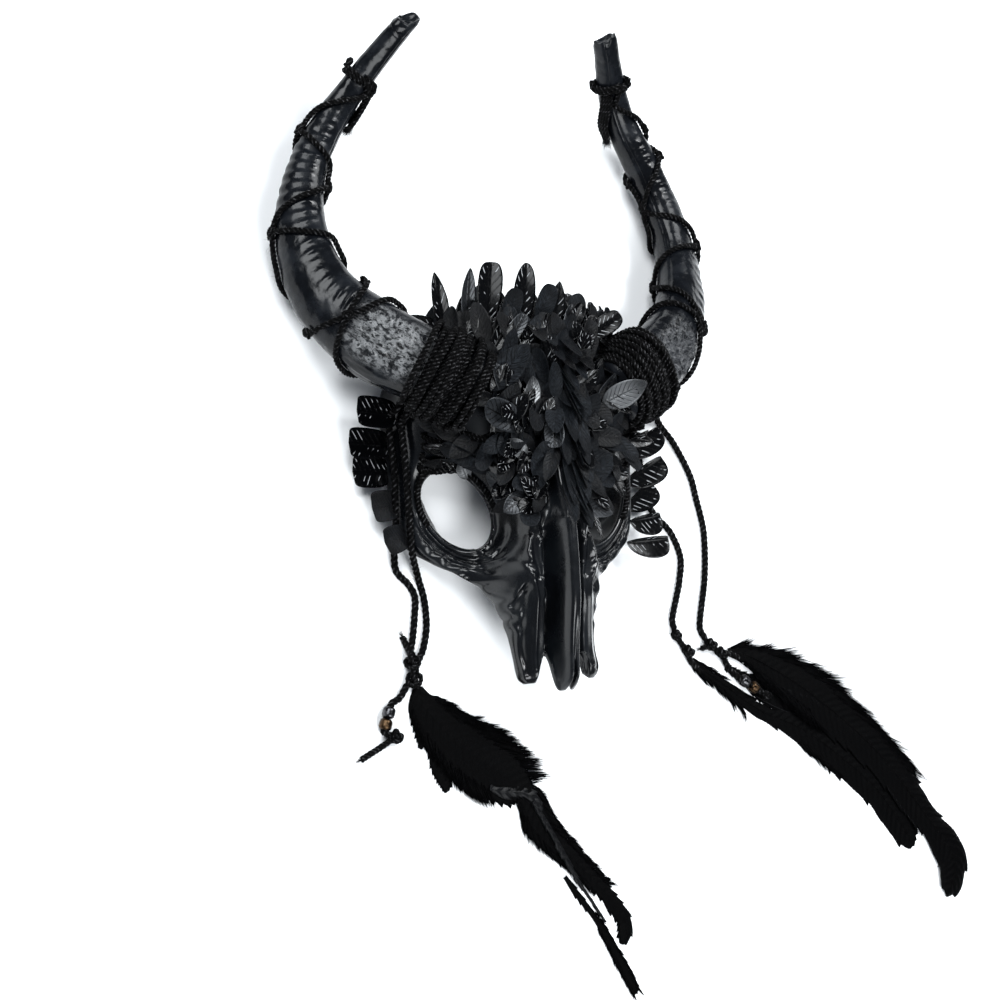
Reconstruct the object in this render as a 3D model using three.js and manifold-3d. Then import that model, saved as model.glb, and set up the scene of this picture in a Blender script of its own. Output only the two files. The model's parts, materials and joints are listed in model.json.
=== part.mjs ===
// Horned animal-skull mask, lying face up. Millimetres, +Z up, +Y towards the horn tips,
// x = 0 is the mask's plane of symmetry and z = 0 is the floor it lies on. The sizes below
// count y from the brow line; the finished group is moved back by MIDDLE_Y, so that its
// origin is under the middle of the mask.
import * as THREE from "three";
import { mergeVertices } from "three/addons/utils/BufferGeometryUtils.js";
import Module from "manifold-3d";

const wasm = await Module();
wasm.setup();

// Skull shell rows: y at the midline, half width, rim height, roof height,
// squareness of the section (1 is an ellipse), sweep of the row's ends towards the face.
const SHELL_ROWS = [
  [-118, 24, 37, 42.5, 0.9, 0],
  [-115, 26.5, 36, 45.5, 0.9, 0],
  [-108, 27.5, 35.5, 47, 0.85, 0],
  [-96, 27.8, 34, 49, 0.85, 0],
  [-80, 29, 31, 53, 0.85, 0],
  [-64, 33.2, 28, 57.5, 0.9, 0],
  [-52, 41, 25, 59, 0.95, 0],
  [-44, 52.5, 22, 60, 1, 0],
  [-36, 64, 14, 60.5, 1, 0],
  [-26, 75.5, 5, 61, 1, 0],
  [-14, 80.5, 0, 61, 1, 0],
  [8, 83, 0, 61, 1, 0],
  [36, 84, 0, 62, 0.95, 0],
  [62, 84, 0, 63, 0.8, 0],
  [84, 81, 6, 61, 0.78, 6],
  [100, 76, 16, 54, 0.8, 14],
  [110, 72, 25, 46, 0.85, 21],
  [116, 70, 32, 38, 0.9, 26],
];
const ROW_Y = [-118, -116.5, -113.5, -107, -98, -88, -78, -69, -60, -52, -44, -36, -27,
  -16, -5, 6, 18, 31, 45, 60, 75, 89, 101, 110, 116];
const HALF_COLUMNS = 10;
const COLUMN_POWER = 1.2;
const WALL = 2.4;
const SIDE_PRONG_SHORTER = 6;

// Bar along the nose with a deep groove on each side of it.
const BAR_HEIGHT = 12.5;
const BAR_HALF_WIDTH = 5.5;
const GROOVE_DEPTH = 9;
const GROOVE_X = 9.6;
const GROOVE_HALF_WIDTH = 3.2;

// Eye hole: a tilted ellipse seen from above, in a sunken, sloping socket.
const EYE = { x: 51.8, y: -5.2, long: 26.2, short: 16.2, tilt: 57, height: 26 };
const SOCKET_SLOPE_X = -0.331;
const SOCKET_SLOPE_Y = 0.144;

// Notches that part the end of the snout into three prongs, right-hand one.
const NOTCH = [[6.3, -122], [9.2, -100], [10.4, -100], [17, -122]];

// Horn centre line (right-hand horn), half axes of its section against length from the base.
const HORN_LINE = [
  [46, 58.5, 58], [72, 73.5, 51.5], [103, 94, 40], [127, 126, 27],
  [133, 170.5, 19.2], [119.5, 215, 18.6], [93.5, 255, 29.5], [66, 290.5, 65],
];
const HORN_SECTION = [
  [0, 21, 18.5], [27, 22, 18.5], [65, 23.5, 18.5], [106, 20.5, 16.5], [150, 15.8, 13.4],
  [190, 11.4, 12.4], [244, 7.8, 10.2], [280, 6.2, 8.8], [296, 5.6, 8],
];
const HORN_INSIDE = [20, 190, 30];
const HORN_AXIS_TILT = 40;
const HORN_SIDES = 12;
const HORN_RINGS = 19;
const HORN_TIP_LENGTH = 6;
const HORN_TRIANGLE = 0.05;

// Rope coil round each horn base, and the two cords laced up each horn.
const WRAP = { from: 3, to: 41, turns: 8, rope: 4.4, gap: 0.5 };
const LACE_RADIUS = 1.9;
const LACE_GAP = 1.85;
const LACE_SAG = 1;
const LACE_SIDES = 5;
// Each lace: length along the horn against angle round it (0 is the inner side, 90 is up).
const LACES = {
  left: [
    [[50, -90], [60, 10], [73, 40], [82, 92], [92, 148], [97, 190], [122, 372], [140, 400],
      [146, 468], [152, 550], [181, 735], [198, 758], [207, 840], [212, 895], [238, 1045],
      [250, 1090]],
    [[50, 330], [72, 210], [79, 178], [85, 120], [91, 54], [100, 20], [126, -158],
      [144, -168], [158, -202], [171, -278], [183, -340], [207, -535], [220, -556],
      [238, -618], [253, -690]],
  ],
  right: [
    [[50, -190], [66, -50], [84, 40], [91, 94], [95, 140], [128, 318], [140, 365], [149, 424],
      [153, 500], [161, 675], [183, 708], [201, 766], [211, 825], [222, 885], [258, 1060]],
    [[50, 290], [64, 185], [78, 142], [95, 98], [104, 50], [128, -42], [149, -205],
      [161, -222], [173, -290], [184, -354], [207, -394], [229, -560], [240, -582],
      [251, -616], [264, -680]],
  ],
};
const LACE_RING_AT = { left: 259, right: 275 };
const LACE_RUN = 9; // longest stretch along the horn between two points of a lace

// Leaves: [x, y of the stalk on the shell, heading, rise, length, width, lift].
// Heading 90 points at the horn tips; rise is above the shell, or above the floor where
// `level` is set. Thickness and the dish across a leaf are shared.
const LEAF_THICKNESS = 0.9;
const LEAF_DISH = 0.22;
const LEAF_CURL = 0.1;
const CROWN_LEAVES = [
  [-56.5, 97, 108, 16, 37, 11, 2], [-43.5, 102, 97, 24, 34, 10, 2], [-32.5, 101, 92, 16, 37, 17, 2],
  [-20, 102, 82, 28, 22, 13, 2], [-9.5, 102, 90, 14, 36, 15, 2], [2, 102, 78, 22, 25, 13, 2],
  [12, 101, 86, 16, 27, 11, 2], [23.5, 99, 70, 20, 17, 10, 2], [36, 95, 32, 14, 24, 13, 2],
];
const SIDE_LEAVES = {
  left: [
    [-82, 54, 177, 8, 28, 19, 1.2], [-83.5, 38, 178, 3, 27, 19, 1.2],
    [-83.5, 22, 180, 9, 26, 20, 1.2], [-81.5, 2, 188, 4, 18, 19, 1.2],
    [-78.5, -17, 196, 8, 17, 17, 1.2],
  ],
  right: [
    [86, 31, 32, 8, 31, 17, 1.2], [84.5, 13, 30, 12, 30, 18, 1.2],
    [82.5, -3, 38, 7, 25, 17, 1.2], [79.5, -13.5, 8, 12, 21, 17, 1.2],
    [74, -27, 2, 8, 28, 17, 1.2],
  ],
};
const BIG_LEAVES = [
  [-41, 61, 42, 18, 36, 18, 3.2], [-21, 39, 160, 16, 31, 18, 3.2],
  [-37, 15, 152, 13, 34, 15, 3.2], [35, 52, 40, 46, 30, 17, 4],
  [49, 33, -62, 14, 24, 12, 3.2],
];
// Fields of small overlapping leaves: rows of y, columns of x, heading and its scatter.
const FIELD_ROWS = [94, 73, 52, 34];
const FIELD_COLUMNS = [16, 32];
const FIELD_HEADING = 118;
const FIELD_TURN = 12;
const FIELD_SCATTER = { heading: 60, x: 3, y: 5 };
// Each of these is a least value and how much scatter adds to it.
const FIELD_LEAF = { rise: [16, 10], length: [27, 6], width: [14, 3], lift: -0.4 };
const LOW_LEAF = { rise: 15, length: [22, 4], width: 13 };
const BROW_LEAVES = [[34, 27, 210], [54, 31, 198]];
const TEMPLE_LEAVES = [[74, 34, 235]];
const STRIP_LEAVES = [
  [7, 98, -84, 11, 40, 12, -0.4], [11, 76, -96, 14, 40, 12, -0.4], [8, 55, -92, 10, 38, 12, -0.4],
  [7, 34, -98, 13, 34, 11, -0.4], [3, 12, -94, 10, 28, 11, -0.4],
];
// Cloth that a field and the strip are sewn on: rows and columns of the shell's own grid.
const FIELD_BACKING = { rows: [17, 23], columns: [2, 7] };
const STRIP_BACKING = { rows: [15, 23], columns: [-1, 1] };
const BACKING_LIFT = 0.4;
const BACKING_THICKNESS = 1.1;

// Tassel cords: radius, and their routes after the point where each leaves its rope coil.
// The end of a route on the floor is one cord radius above it.
const CORD_RADIUS = 1.9;
const CORD_SIDES = 8;
const CORD_EXITS = {
  left_outer: [40, 232], left_inner: [33, 224], right_outer: [39, 226], right_inner: [32, 222],
};
const CORD_ROUTES = {
  left_outer: [[-86.5, 53, 19], [-86, 39, 16.5], [-84.6, 16, 14.5], [-84, -12, 8.5],
    [-84, -28, 3], [-83, -38, 1.9], [-76, -46, 1.9], [-72.5, -54, 1.9], [-74, -66, 1.9],
    [-76.5, -78, 2.1], [-79, -85.5, 3]],
  left_inner: [[-82.5, 46, 27], [-81.8, 26, 25.5], [-80.8, 3, 22.5], [-79.6, -12, 19],
    [-77.6, -25, 14], [-74, -34, 8.5], [-69, -44, 2.1], [-66.5, -56, 1.9], [-66.5, -71, 1.9],
    [-70, -84, 2.4], [-73.8, -90.5, 3]],
  right_outer: [[103, 63, 16], [112, 57, 7], [119, 50, 1.9], [128, 38, 1.9], [138, 17, 1.9],
    [141, 1, 1.9], [144, -19, 1.9], [143, -37, 1.9], [140, -55, 1.9], [134, -76, 1.9],
    [132, -86, 2.1], [134.5, -92.5, 2.8]],
  right_inner: [[86, 48, 22], [91.5, 45, 11], [95, 38, 4.2], [99, 28, 1.9], [101, 4, 1.9],
    [106, -9, 1.9], [117, -21, 1.9], [123, -38, 1.9], [120, -54, 1.9], [116, -65, 1.9], [111, -78, 2.1],
    [111, -84, 2.6]],
  left_beads: [[-83.5, -106, 2.6], [-89, -113, 2.4], [-95.6, -116.6, 3.9], [-101.2, -130.6, 3.9],
    [-98.9, -133, 3.9]],
  right_beads: [[148.6, -108.2, 2.6], [151, -113.4, 2.6], [156, -119.2, 3.9],
    [174.6, -131.4, 3.9]],
};
// Knots: [x, y, z, half length, half width, heading], each a lump of tied cord.
const KNOTS = {
  knot_left: [[-79, -92, 4, 6.6, 5, 90], [-78.5, -101, 3.6, 6.5, 5, 75]],
  knot_left_tail: [[-94, -135, 3.8, 5, 4.4, -40]],
  knot_right_outer: [[138, -97, 3.6, 5, 4, -40], [146, -103, 3.4, 5.5, 3.6, -40]],
  knot_right_inner: [[112, -89, 3.2, 4, 3.4, -60], [119.5, -100, 3.6, 5, 3.8, -50]],
  knot_right_tail: [[178.4, -133.9, 3.4, 3.6, 3.2, -40]],
};
const KNOT_TAILS = {
  knot_left: [[-79, -90, 3.6], [-83, -77, 2]],
  knot_left_tail: [[-94, -135, 3], [-103, -140, 2], [-116, -146, 2]],
  knot_right_outer: [[138, -97, 3], [131, -99, 2]],
  knot_right_inner: [[112, -89, 2.6], [119.5, -100, 2.6]],
};
const BEADS = {
  bead_left_steel: [[-97.2, -120.6, 3.9], [-0.374, -0.927]],
  bead_left_bronze: [[-99.9, -127.3, 3.9], [-0.374, -0.927]],
  bead_right_steel: [[161.5, -122.8, 3.9], [0.836, -0.548]],
  bead_right_bronze: [[168.6, -127.5, 3.9], [0.836, -0.548]],
};
const BEAD = { radius: 3.9, hole: 2.2, halfLength: 3.3, sides: 9 };

// Feathers on the floor: stations of [x, y, width], base height of the left and right edge
// along the feather, and height of the shaft.
const FEATHERS = {
  feather_left_body: { low: [0.2, 0.2], high: 3, stations: [[-76, -108.5, 9], [-73.5, -118, 24],
    [-63, -132, 36], [-49, -145.5, 46], [-32.5, -158.5, 46], [-17.5, -170.5, 32],
    [-9, -178.5, 20]] },
  feather_left_strip: { low: [0.2, 0.2], high: 2, stations: [[-6.6, -183, 20],
    [-3.5, -193, 22], [3, -204, 19], [12, -213.5, 17], [21.5, -223.5, 14], [33, -236.5, 14],
    [42, -247.5, 14], [49, -259, 15], [50, -268, 14], [47, -276, 8]] },
  feather_left_quill: { low: [2.6, 2.6], high: 1.2, stations: [[-6.9, -182.6, 3.4],
    [-1, -193, 5], [7, -209, 5], [19, -233, 4], [36, -261, 1.6]] },
  feather_left_thin: { low: [0.2, 0.2], high: 1.8, stations: [[11.5, -230, 4], [22, -246, 6],
    [33, -263, 5.5], [42, -281, 7], [51, -300, 7], [54, -309, 4]] },
  feather_right_upper: { low: [0.2, 2.3], high: 2.4, stations: [[152, -103, 8],
    [166, -106, 16], [184, -115, 27], [211, -132, 38], [244, -158, 35], [271, -184, 34],
    [293, -213, 32], [312, -241, 30], [325, -261, 28], [323, -276, 20], [315, -285, 7]] },
  feather_right_lower: { low: [0.2, 0.2], high: 1.8, stations: [[123, -106, 5],
    [131, -113, 8], [146, -123.5, 10], [163, -137.2, 12.5], [180, -147.5, 13],
    [207, -159.5, 24], [236, -180.5, 28], [262.5, -203.5, 28], [283, -233, 22],
    [292, -251, 9]] },
};

const GAP = 0.3;
const MIDDLE_Y = 87.4;

const DEG = Math.PI / 180;
const clamp01 = (x) => Math.min(1, Math.max(0, x));
const smooth = (a, b, x) => {
  const k = clamp01((x - a) / (b - a));
  return k * k * (3 - 2 * k);
};
// Repeatable scatter between 0 and 1 for piece number n.
const scatter = (n) => {
  const k = Math.sin(n * 12.9898) * 43758.5453;
  return k - Math.floor(k);
};

// Smooth curve through the rows of a table, by cubic pieces; the first column is the argument.
function along(table, x) {
  const last = table.length - 1;
  let i = 0;
  while (i < last - 1 && x > table[i + 1][0]) i++;
  const a = table[i];
  const b = table[i + 1];
  const before = table[Math.max(0, i - 1)];
  const after = table[Math.min(last, i + 2)];
  const h = b[0] - a[0];
  const t = clamp01((x - a[0]) / h);
  return a.slice(1).map((_, k) => {
    const c = k + 1;
    const slopeA = i > 0 ? (b[c] - before[c]) / (b[0] - before[0]) : (b[c] - a[c]) / h;
    const slopeB = i < last - 1 ? (after[c] - a[c]) / (after[0] - a[0]) : (b[c] - a[c]) / h;
    const t2 = t * t;
    const t3 = t2 * t;
    return (2 * t3 - 3 * t2 + 1) * a[c] + (t3 - 2 * t2 + t) * h * slopeA
      + (3 * t2 - 2 * t3) * b[c] + (t3 - t2) * h * slopeB;
  });
}

function geometryOf(points, faces) {
  const g = new THREE.BufferGeometry();
  g.setAttribute("position", new THREE.Float32BufferAttribute(points.flat(), 3));
  g.setIndex(faces.flat());
  return g;
}

// Lofted solid through rings of equal point count, closed by flat caps or by end points.
function loft(rings, startPoint, endPoint) {
  const points = rings.flat();
  const n = rings[0].length;
  const faces = [];
  for (let i = 0; i < rings.length - 1; i++) {
    for (let j = 0; j < n; j++) {
      const k = (j + 1) % n;
      const a = i * n;
      const b = a + n;
      faces.push([a + j, a + k, b + j], [a + k, b + k, b + j]);
    }
  }
  const cap = (first, tip, flip) => {
    if (tip) points.push(tip);
    const centre = points.length - 1;
    for (let j = tip ? 0 : 1; j < (tip ? n : n - 1); j++) {
      const a = first + j;
      const b = first + ((j + 1) % n);
      const c = tip ? centre : first;
      faces.push(flip ? [c, b, a] : [c, a, b]);
    }
  };
  cap(0, startPoint, true);
  cap((rings.length - 1) * n, endPoint, false);
  return outward(points, faces);
}

// Closed sheet between an upper and a lower grid of points.
function sheet(upper, lower) {
  const rows = upper.length;
  const columns = upper[0].length;
  const points = upper.flat().concat(lower.flat());
  const faces = [];
  const top = (i, j) => i * columns + j;
  const under = (i, j) => rows * columns + top(i, j);
  for (let i = 0; i < rows - 1; i++) {
    for (let j = 0; j < columns - 1; j++) {
      faces.push([top(i, j), top(i, j + 1), top(i + 1, j + 1)],
        [top(i, j), top(i + 1, j + 1), top(i + 1, j)],
        [under(i, j), under(i + 1, j + 1), under(i, j + 1)],
        [under(i, j), under(i + 1, j), under(i + 1, j + 1)]);
    }
  }
  const edge = [];
  for (let j = 0; j < columns - 1; j++) edge.push([0, j]);
  for (let i = 0; i < rows - 1; i++) edge.push([i, columns - 1]);
  for (let j = columns - 1; j > 0; j--) edge.push([rows - 1, j]);
  for (let i = rows - 1; i > 0; i--) edge.push([i, 0]);
  edge.forEach(([i, j], k) => {
    const [p, q] = edge[(k + 1) % edge.length];
    faces.push([top(i, j), under(p, q), top(p, q)], [top(i, j), under(i, j), under(p, q)]);
  });
  return outward(points, faces);
}

// Turns the faces round where they enclose a negative volume.
function outward(points, faces) {
  let six = 0;
  for (const [a, b, c] of faces) {
    const [p, q, r] = [points[a], points[b], points[c]];
    six += p[0] * (q[1] * r[2] - q[2] * r[1]) - p[1] * (q[0] * r[2] - q[2] * r[0])
      + p[2] * (q[0] * r[1] - q[1] * r[0]);
  }
  return geometryOf(points, six < 0 ? faces.map(([a, b, c]) => [a, c, b]) : faces);
}

function solid(geometry) {
  const g = geometry.clone();
  g.deleteAttribute("normal");
  g.deleteAttribute("uv");
  const merged = mergeVertices(g, 1e-4);
  return new wasm.Manifold(new wasm.Mesh({
    numProp: 3,
    vertProperties: merged.attributes.position.array,
    triVerts: new Uint32Array(merged.index.array),
  }));
}

// Geometry of a solid; of several loose bodies only the one with the most faces stays.
function largestBody(body) {
  const mesh = body.getMesh();
  const parent = Array.from({ length: mesh.numVert }, (_, i) => i);
  const find = (i) => {
    while (parent[i] !== i) i = parent[i] = parent[parent[i]];
    return i;
  };
  const tri = mesh.triVerts;
  for (let i = 0; i < tri.length; i += 3) {
    parent[find(tri[i])] = find(tri[i + 1]);
    parent[find(tri[i + 1])] = find(tri[i + 2]);
  }
  const count = new Map();
  for (let i = 0; i < tri.length; i += 3) {
    const k = find(tri[i]);
    count.set(k, (count.get(k) || 0) + 1);
  }
  const keep = [...count].sort((a, b) => b[1] - a[1])[0][0];
  const faces = [];
  for (let i = 0; i < tri.length; i += 3) {
    if (find(tri[i]) === keep) faces.push(tri[i], tri[i + 1], tri[i + 2]);
  }
  const g = new THREE.BufferGeometry();
  const position = new Float32Array(mesh.numVert * 3);
  for (let i = 0; i < mesh.numVert; i++) {
    for (let k = 0; k < 3; k++) {
      position[3 * i + k] = mesh.vertProperties[mesh.numProp * i + k];
    }
  }
  g.setAttribute("position", new THREE.BufferAttribute(position, 3));
  g.setIndex(faces);
  return g.toNonIndexed();
}

// Upright prism over an outline seen from above.
function prism(outline, low, high) {
  return loft([low, high].map((z) => outline.map(([x, y]) => [x, y, z])));
}

// How deep the eye socket is sunk at a place: 1 inside it, 0 away from it.
function socketDepth(x, y) {
  const dx = Math.abs(x) - EYE.x;
  const dy = y - EYE.y;
  const c = Math.cos(EYE.tilt * DEG);
  const s = Math.sin(EYE.tilt * DEG);
  const d = Math.hypot((dx * c + dy * s) / EYE.long, (dy * c - dx * s) / EYE.short);
  const angle = Math.atan2(dy, dx);
  const low = smooth(0.1, 0.75, -Math.sin(angle)) * smooth(-0.75, 0.1, Math.cos(angle));
  return 1 - smooth(1.08, 1.7 + 1.5 * low, d);
}

function socketHeight(x, y) {
  return EYE.height + SOCKET_SLOPE_X * (Math.abs(x) - EYE.x) + SOCKET_SLOPE_Y * (y - EYE.y);
}

// Height that the bar and its grooves add to the roof.
function noseRelief(x, y) {
  const a = Math.abs(x);
  const bar = BAR_HEIGHT * Math.exp(-((a / BAR_HALF_WIDTH) ** 4))
    * smooth(-126, -108, y) * (1 - 0.5 * smooth(-20, 20, y)) * (1 - smooth(60, 100, y));
  const groove = GROOVE_DEPTH * Math.exp(-(((a - GROOVE_X) / GROOVE_HALF_WIDTH) ** 2))
    * smooth(-116, -98, y) * (1 - smooth(-26, -10, y));
  return bar - groove;
}

// Point of the shell's outer face grown by `grow` (negative for the inner face).
// u runs from -1 at one rim to 1 at the other.
function shellPoint(u, y0, grow) {
  const [halfWidth, low, roof, square, sweep] = along(SHELL_ROWS, y0);
  const rim = Math.max(0, low);
  const angle = u * Math.PI / 2;
  const across = Math.sign(u) * Math.abs(Math.sin(angle)) ** square;
  const x = (halfWidth + grow) * across;
  const end = 1 - smooth(-118, -100, y0);
  const y = y0 - sweep * across ** 4 - grow * end
    + SIDE_PRONG_SHORTER * smooth(0.2, 0.45, Math.abs(across)) * end;
  const high = Math.abs(Math.cos(angle)) ** square;
  const base = rim + Math.max(0.4, roof + grow - rim) * high;
  const floorOfSocket = socketHeight(x, y) + grow;
  const sunk = base - socketDepth(x, y) * Math.max(0, base - floorOfSocket);
  return [x, y, Math.max(rim, sunk + noseRelief(x, y) * high ** 0.5)];
}

const columns = [];
for (let j = -HALF_COLUMNS; j <= HALF_COLUMNS; j++) {
  columns.push(Math.sign(j) * (Math.abs(j) / HALF_COLUMNS) ** COLUMN_POWER);
}
const shellGrid = (grow) => ROW_Y.map((y) => columns.map((u) => shellPoint(u, y, grow)));
// Everything under the shell's outer face, used to trim what lies on it.
const envelopeGrid = shellGrid(GAP);
const envelope = solid(sheet(envelopeGrid,
  envelopeGrid.map((row) => row.map(([x, y]) => [x, y, -2]))));

// Point on the shell over (x, y), found by walking the section, with its outward direction.
function onShell(x, y, lift) {
  let u = 0;
  let y0 = y;
  for (let i = 0; i < 40; i++) {
    const p = shellPoint(u, y0, 0);
    const [halfWidth] = along(SHELL_ROWS, y0);
    u = Math.min(0.98, Math.max(-0.98, u + (x - p[0]) / (halfWidth * 1.9)));
    y0 += (y - p[1]) * 0.6;
  }
  const p = new THREE.Vector3(...shellPoint(u, y0, 0));
  const e = 0.03;
  const du = new THREE.Vector3(...shellPoint(u + e, y0, 0))
    .sub(new THREE.Vector3(...shellPoint(u - e, y0, 0)));
  const dy = new THREE.Vector3(...shellPoint(u, y0 + 3, 0))
    .sub(new THREE.Vector3(...shellPoint(u, y0 - 3, 0)));
  const n = du.cross(dy).normalize();
  return { point: p.addScaledVector(n, lift), normal: n };
}

// Horn centre line and section.
const hornCurve = new THREE.CatmullRomCurve3(
  HORN_LINE.map((p) => new THREE.Vector3(...p)), false, "catmullrom", 0.5);
const hornLength = hornCurve.getLength();

// Point at a length and an angle round the right-hand horn, `out` away from its surface.
function hornPoint(length, angle, out, shrink = 1) {
  const at = clamp01(length / hornLength);
  const centre = hornCurve.getPointAt(at);
  const tangent = hornCurve.getTangentAt(at);
  const inner = new THREE.Vector3(...HORN_INSIDE).sub(centre);
  inner.addScaledVector(tangent, -inner.dot(tangent)).normalize();
  const up = new THREE.Vector3().crossVectors(tangent, inner).normalize();
  const [major, minor] = along(HORN_SECTION, length);
  const a = (angle - HORN_AXIS_TILT) * DEG;
  const radius = shrink * (1 + HORN_TRIANGLE * Math.cos(3 * a))
    / Math.hypot(Math.cos(a) / major, Math.sin(a) / minor) + out;
  return centre.addScaledVector(inner, radius * Math.cos(angle * DEG))
    .addScaledVector(up, radius * Math.sin(angle * DEG));
}

const ring = (length, out, shrink) => Array.from({ length: HORN_SIDES }, (_, j) =>
  hornPoint(length, j * 360 / HORN_SIDES, out, shrink).toArray());

function hornRings(out) {
  const rings = [];
  const straight = hornLength - HORN_TIP_LENGTH;
  for (let i = 0; i < HORN_RINGS; i++) {
    rings.push(ring(straight * i / (HORN_RINGS - 1), out));
  }
  rings.push(ring(hornLength - 2, out, 0.82), ring(hornLength, out, 0.45));
  return rings;
}

const mirrorX = (geometry, side) => {
  const g = geometry.index ? geometry.toNonIndexed() : geometry.clone();
  if (side > 0) return g;
  const p = g.attributes.position;
  for (let i = 0; i < p.count; i += 3) {
    const v = [0, 1, 2].map((k) => [-p.getX(i + k), p.getY(i + k), p.getZ(i + k)]);
    [v[0], v[2], v[1]].forEach((q, k) => p.setXYZ(i + k, ...q));
  }
  return g;
};

// Closed ring-shaped solid between an outer and an inner loop grid (loops along the length).
function sleeve(outer, inner) {
  const n = outer[0].length;
  const loops = outer.concat([...inner].reverse());
  const points = loops.flat();
  const faces = [];
  loops.forEach((_, i) => {
    const a = i * n;
    const b = ((i + 1) % loops.length) * n;
    for (let j = 0; j < n; j++) {
      const k = (j + 1) % n;
      faces.push([a + j, a + k, b + j], [a + k, b + k, b + j]);
    }
  });
  return outward(points, faces);
}

function wrapGeometry() {
  const outer = [];
  const pitch = (WRAP.to - WRAP.from) / WRAP.turns;
  for (let i = 0; i < WRAP.turns; i++) {
    const start = WRAP.from + pitch * i;
    outer.push(ring(start + 0.06 * pitch, WRAP.gap + 0.72 * WRAP.rope),
      ring(start + 0.5 * pitch, WRAP.gap + WRAP.rope));
  }
  outer.push(ring(WRAP.to, WRAP.gap + 0.72 * WRAP.rope));
  const inner = [0, 0.33, 0.67, 1].map((k) =>
    ring(WRAP.from + k * (WRAP.to - WRAP.from), WRAP.gap));
  return sleeve(outer, inner);
}

// Round tube along a list of points.
function tube(path, radius, sides) {
  let normal = new THREE.Vector3(0, 0, 1);
  return loft(path.map((p, i) => {
    const t = path[Math.min(i + 1, path.length - 1)].clone()
      .sub(path[Math.max(i - 1, 0)]).normalize();
    if (Math.abs(normal.dot(t)) > 0.98) normal = new THREE.Vector3(1, 0, 0);
    normal = normal.clone().addScaledVector(t, -normal.dot(t)).normalize();
    const side = new THREE.Vector3().crossVectors(t, normal);
    return Array.from({ length: sides }, (_, j) => {
      const a = (j + 0.5) * 2 * Math.PI / sides;
      return p.clone().addScaledVector(normal, radius * Math.cos(a))
        .addScaledVector(side, radius * Math.sin(a)).toArray();
    });
  }));
}

// Turn round the horn between two points of a lace whose chord sags by LACE_SAG.
function laceStep(length) {
  const [major] = along(HORN_SECTION, length);
  return 2 * Math.acos(1 - LACE_SAG / (major + LACE_GAP + LACE_RADIUS)) / DEG;
}

function lacePath(table) {
  const first = table[0][0];
  const last = table[table.length - 1][0];
  const path = [];
  const put = (length, angle) => path.push(hornPoint(length, angle, LACE_GAP + LACE_RADIUS));
  let lastAngle = Infinity;
  let lastLength = first;
  for (let length = first; length < last; length += 0.25) {
    const [angle] = along(table, length);
    if (Math.abs(angle - lastAngle) >= laceStep(length) || length - lastLength >= LACE_RUN) {
      put(length, angle);
      lastAngle = angle;
      lastLength = length;
    }
  }
  const [end] = along(table, last);
  if (Math.abs(end - lastAngle) < 0.4 * laceStep(last)) path.pop();
  put(last, end);
  return path;
}

// Both laces of one horn, the loop that ends them near the tip, and their ties to it.
function laceSolid(side) {
  const [first, second] = LACES[side];
  const at = LACE_RING_AT[side];
  const step = laceStep(at);
  const loop = [];
  for (let angle = 0; angle <= 360 + step; angle += step) {
    loop.push(hornPoint(at - 3 + angle / 100, angle, LACE_GAP + LACE_RADIUS));
  }
  const tie = [first, second].map((table) => {
    const [length, angle] = table[table.length - 1];
    return [0, 0.5, 1].map((k) => hornPoint(length + k * (at - length),
      angle + k * 40, LACE_GAP + LACE_RADIUS));
  });
  return [lacePath(first), lacePath(second), loop, ...tie]
    .map((path) => solid(tube(path, LACE_RADIUS, LACE_SIDES)))
    .reduce((a, b) => a.add(b));
}

const group = new THREE.Group();
function addPiece(name, geometry, look) {
  const g = geometry.index ? geometry.toNonIndexed() : geometry;
  g.computeVertexNormals();
  const mesh = new THREE.Mesh(g, new THREE.MeshStandardMaterial({
    color: look.color, roughness: look.roughness, metalness: look.metalness || 0 }));
  mesh.name = name;
  group.add(mesh);
}

const SHELL_LOOK = { color: 0x0a0b0e, roughness: 0.16 };
const HORN_LOOK = { color: 0x101216, roughness: 0.32 };
const ROPE_LOOK = { color: 0x0b0a0b, roughness: 0.8 };

const hornSolid = solid(loft(hornRings(0)));
const hornGeometry = largestBody(hornSolid);
const wrapSolid = solid(wrapGeometry());

let shell = solid(sheet(shellGrid(0), shellGrid(-WALL)));
const eyeOutline = (side, grow) => Array.from({ length: 28 }, (_, i) => {
  const a = i * 2 * Math.PI / 28;
  const p = (EYE.long + grow) * Math.cos(a);
  const q = (EYE.short + grow) * Math.sin(a);
  const c = Math.cos(EYE.tilt * DEG);
  const s = Math.sin(EYE.tilt * DEG);
  return [side * (EYE.x + p * c - q * s), EYE.y + p * s + q * c];
});
for (const side of [-1, 1]) {
  shell = shell.subtract(solid(prism(eyeOutline(side, 0), -5, 90)));
  shell = shell.subtract(solid(prism(NOTCH.map(([x, y]) => [side * x, y]), 0, 90)));
  shell = shell.subtract(solid(mirrorX(loft(hornRings(GAP)), side)));
}
addPiece("skull_shell", largestBody(shell), SHELL_LOOK);

for (const [name, side] of [["left", -1], ["right", 1]]) {
  addPiece("horn_" + name, mirrorX(hornGeometry, side), HORN_LOOK);
  const trimmed = solid(mirrorX(largestBody(wrapSolid), side)).subtract(envelope);
  addPiece("horn_wrap_" + name, largestBody(trimmed), ROPE_LOOK);
  addPiece("horn_lace_" + name, mirrorX(largestBody(laceSolid(name)), side), ROPE_LOOK);
}

// A leaf: pointed at both ends, dished across and curled up along its length.
const LEAF_STATIONS = [[0.1, 0.6], [0.42, 1], [0.8, 0.78]];

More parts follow.
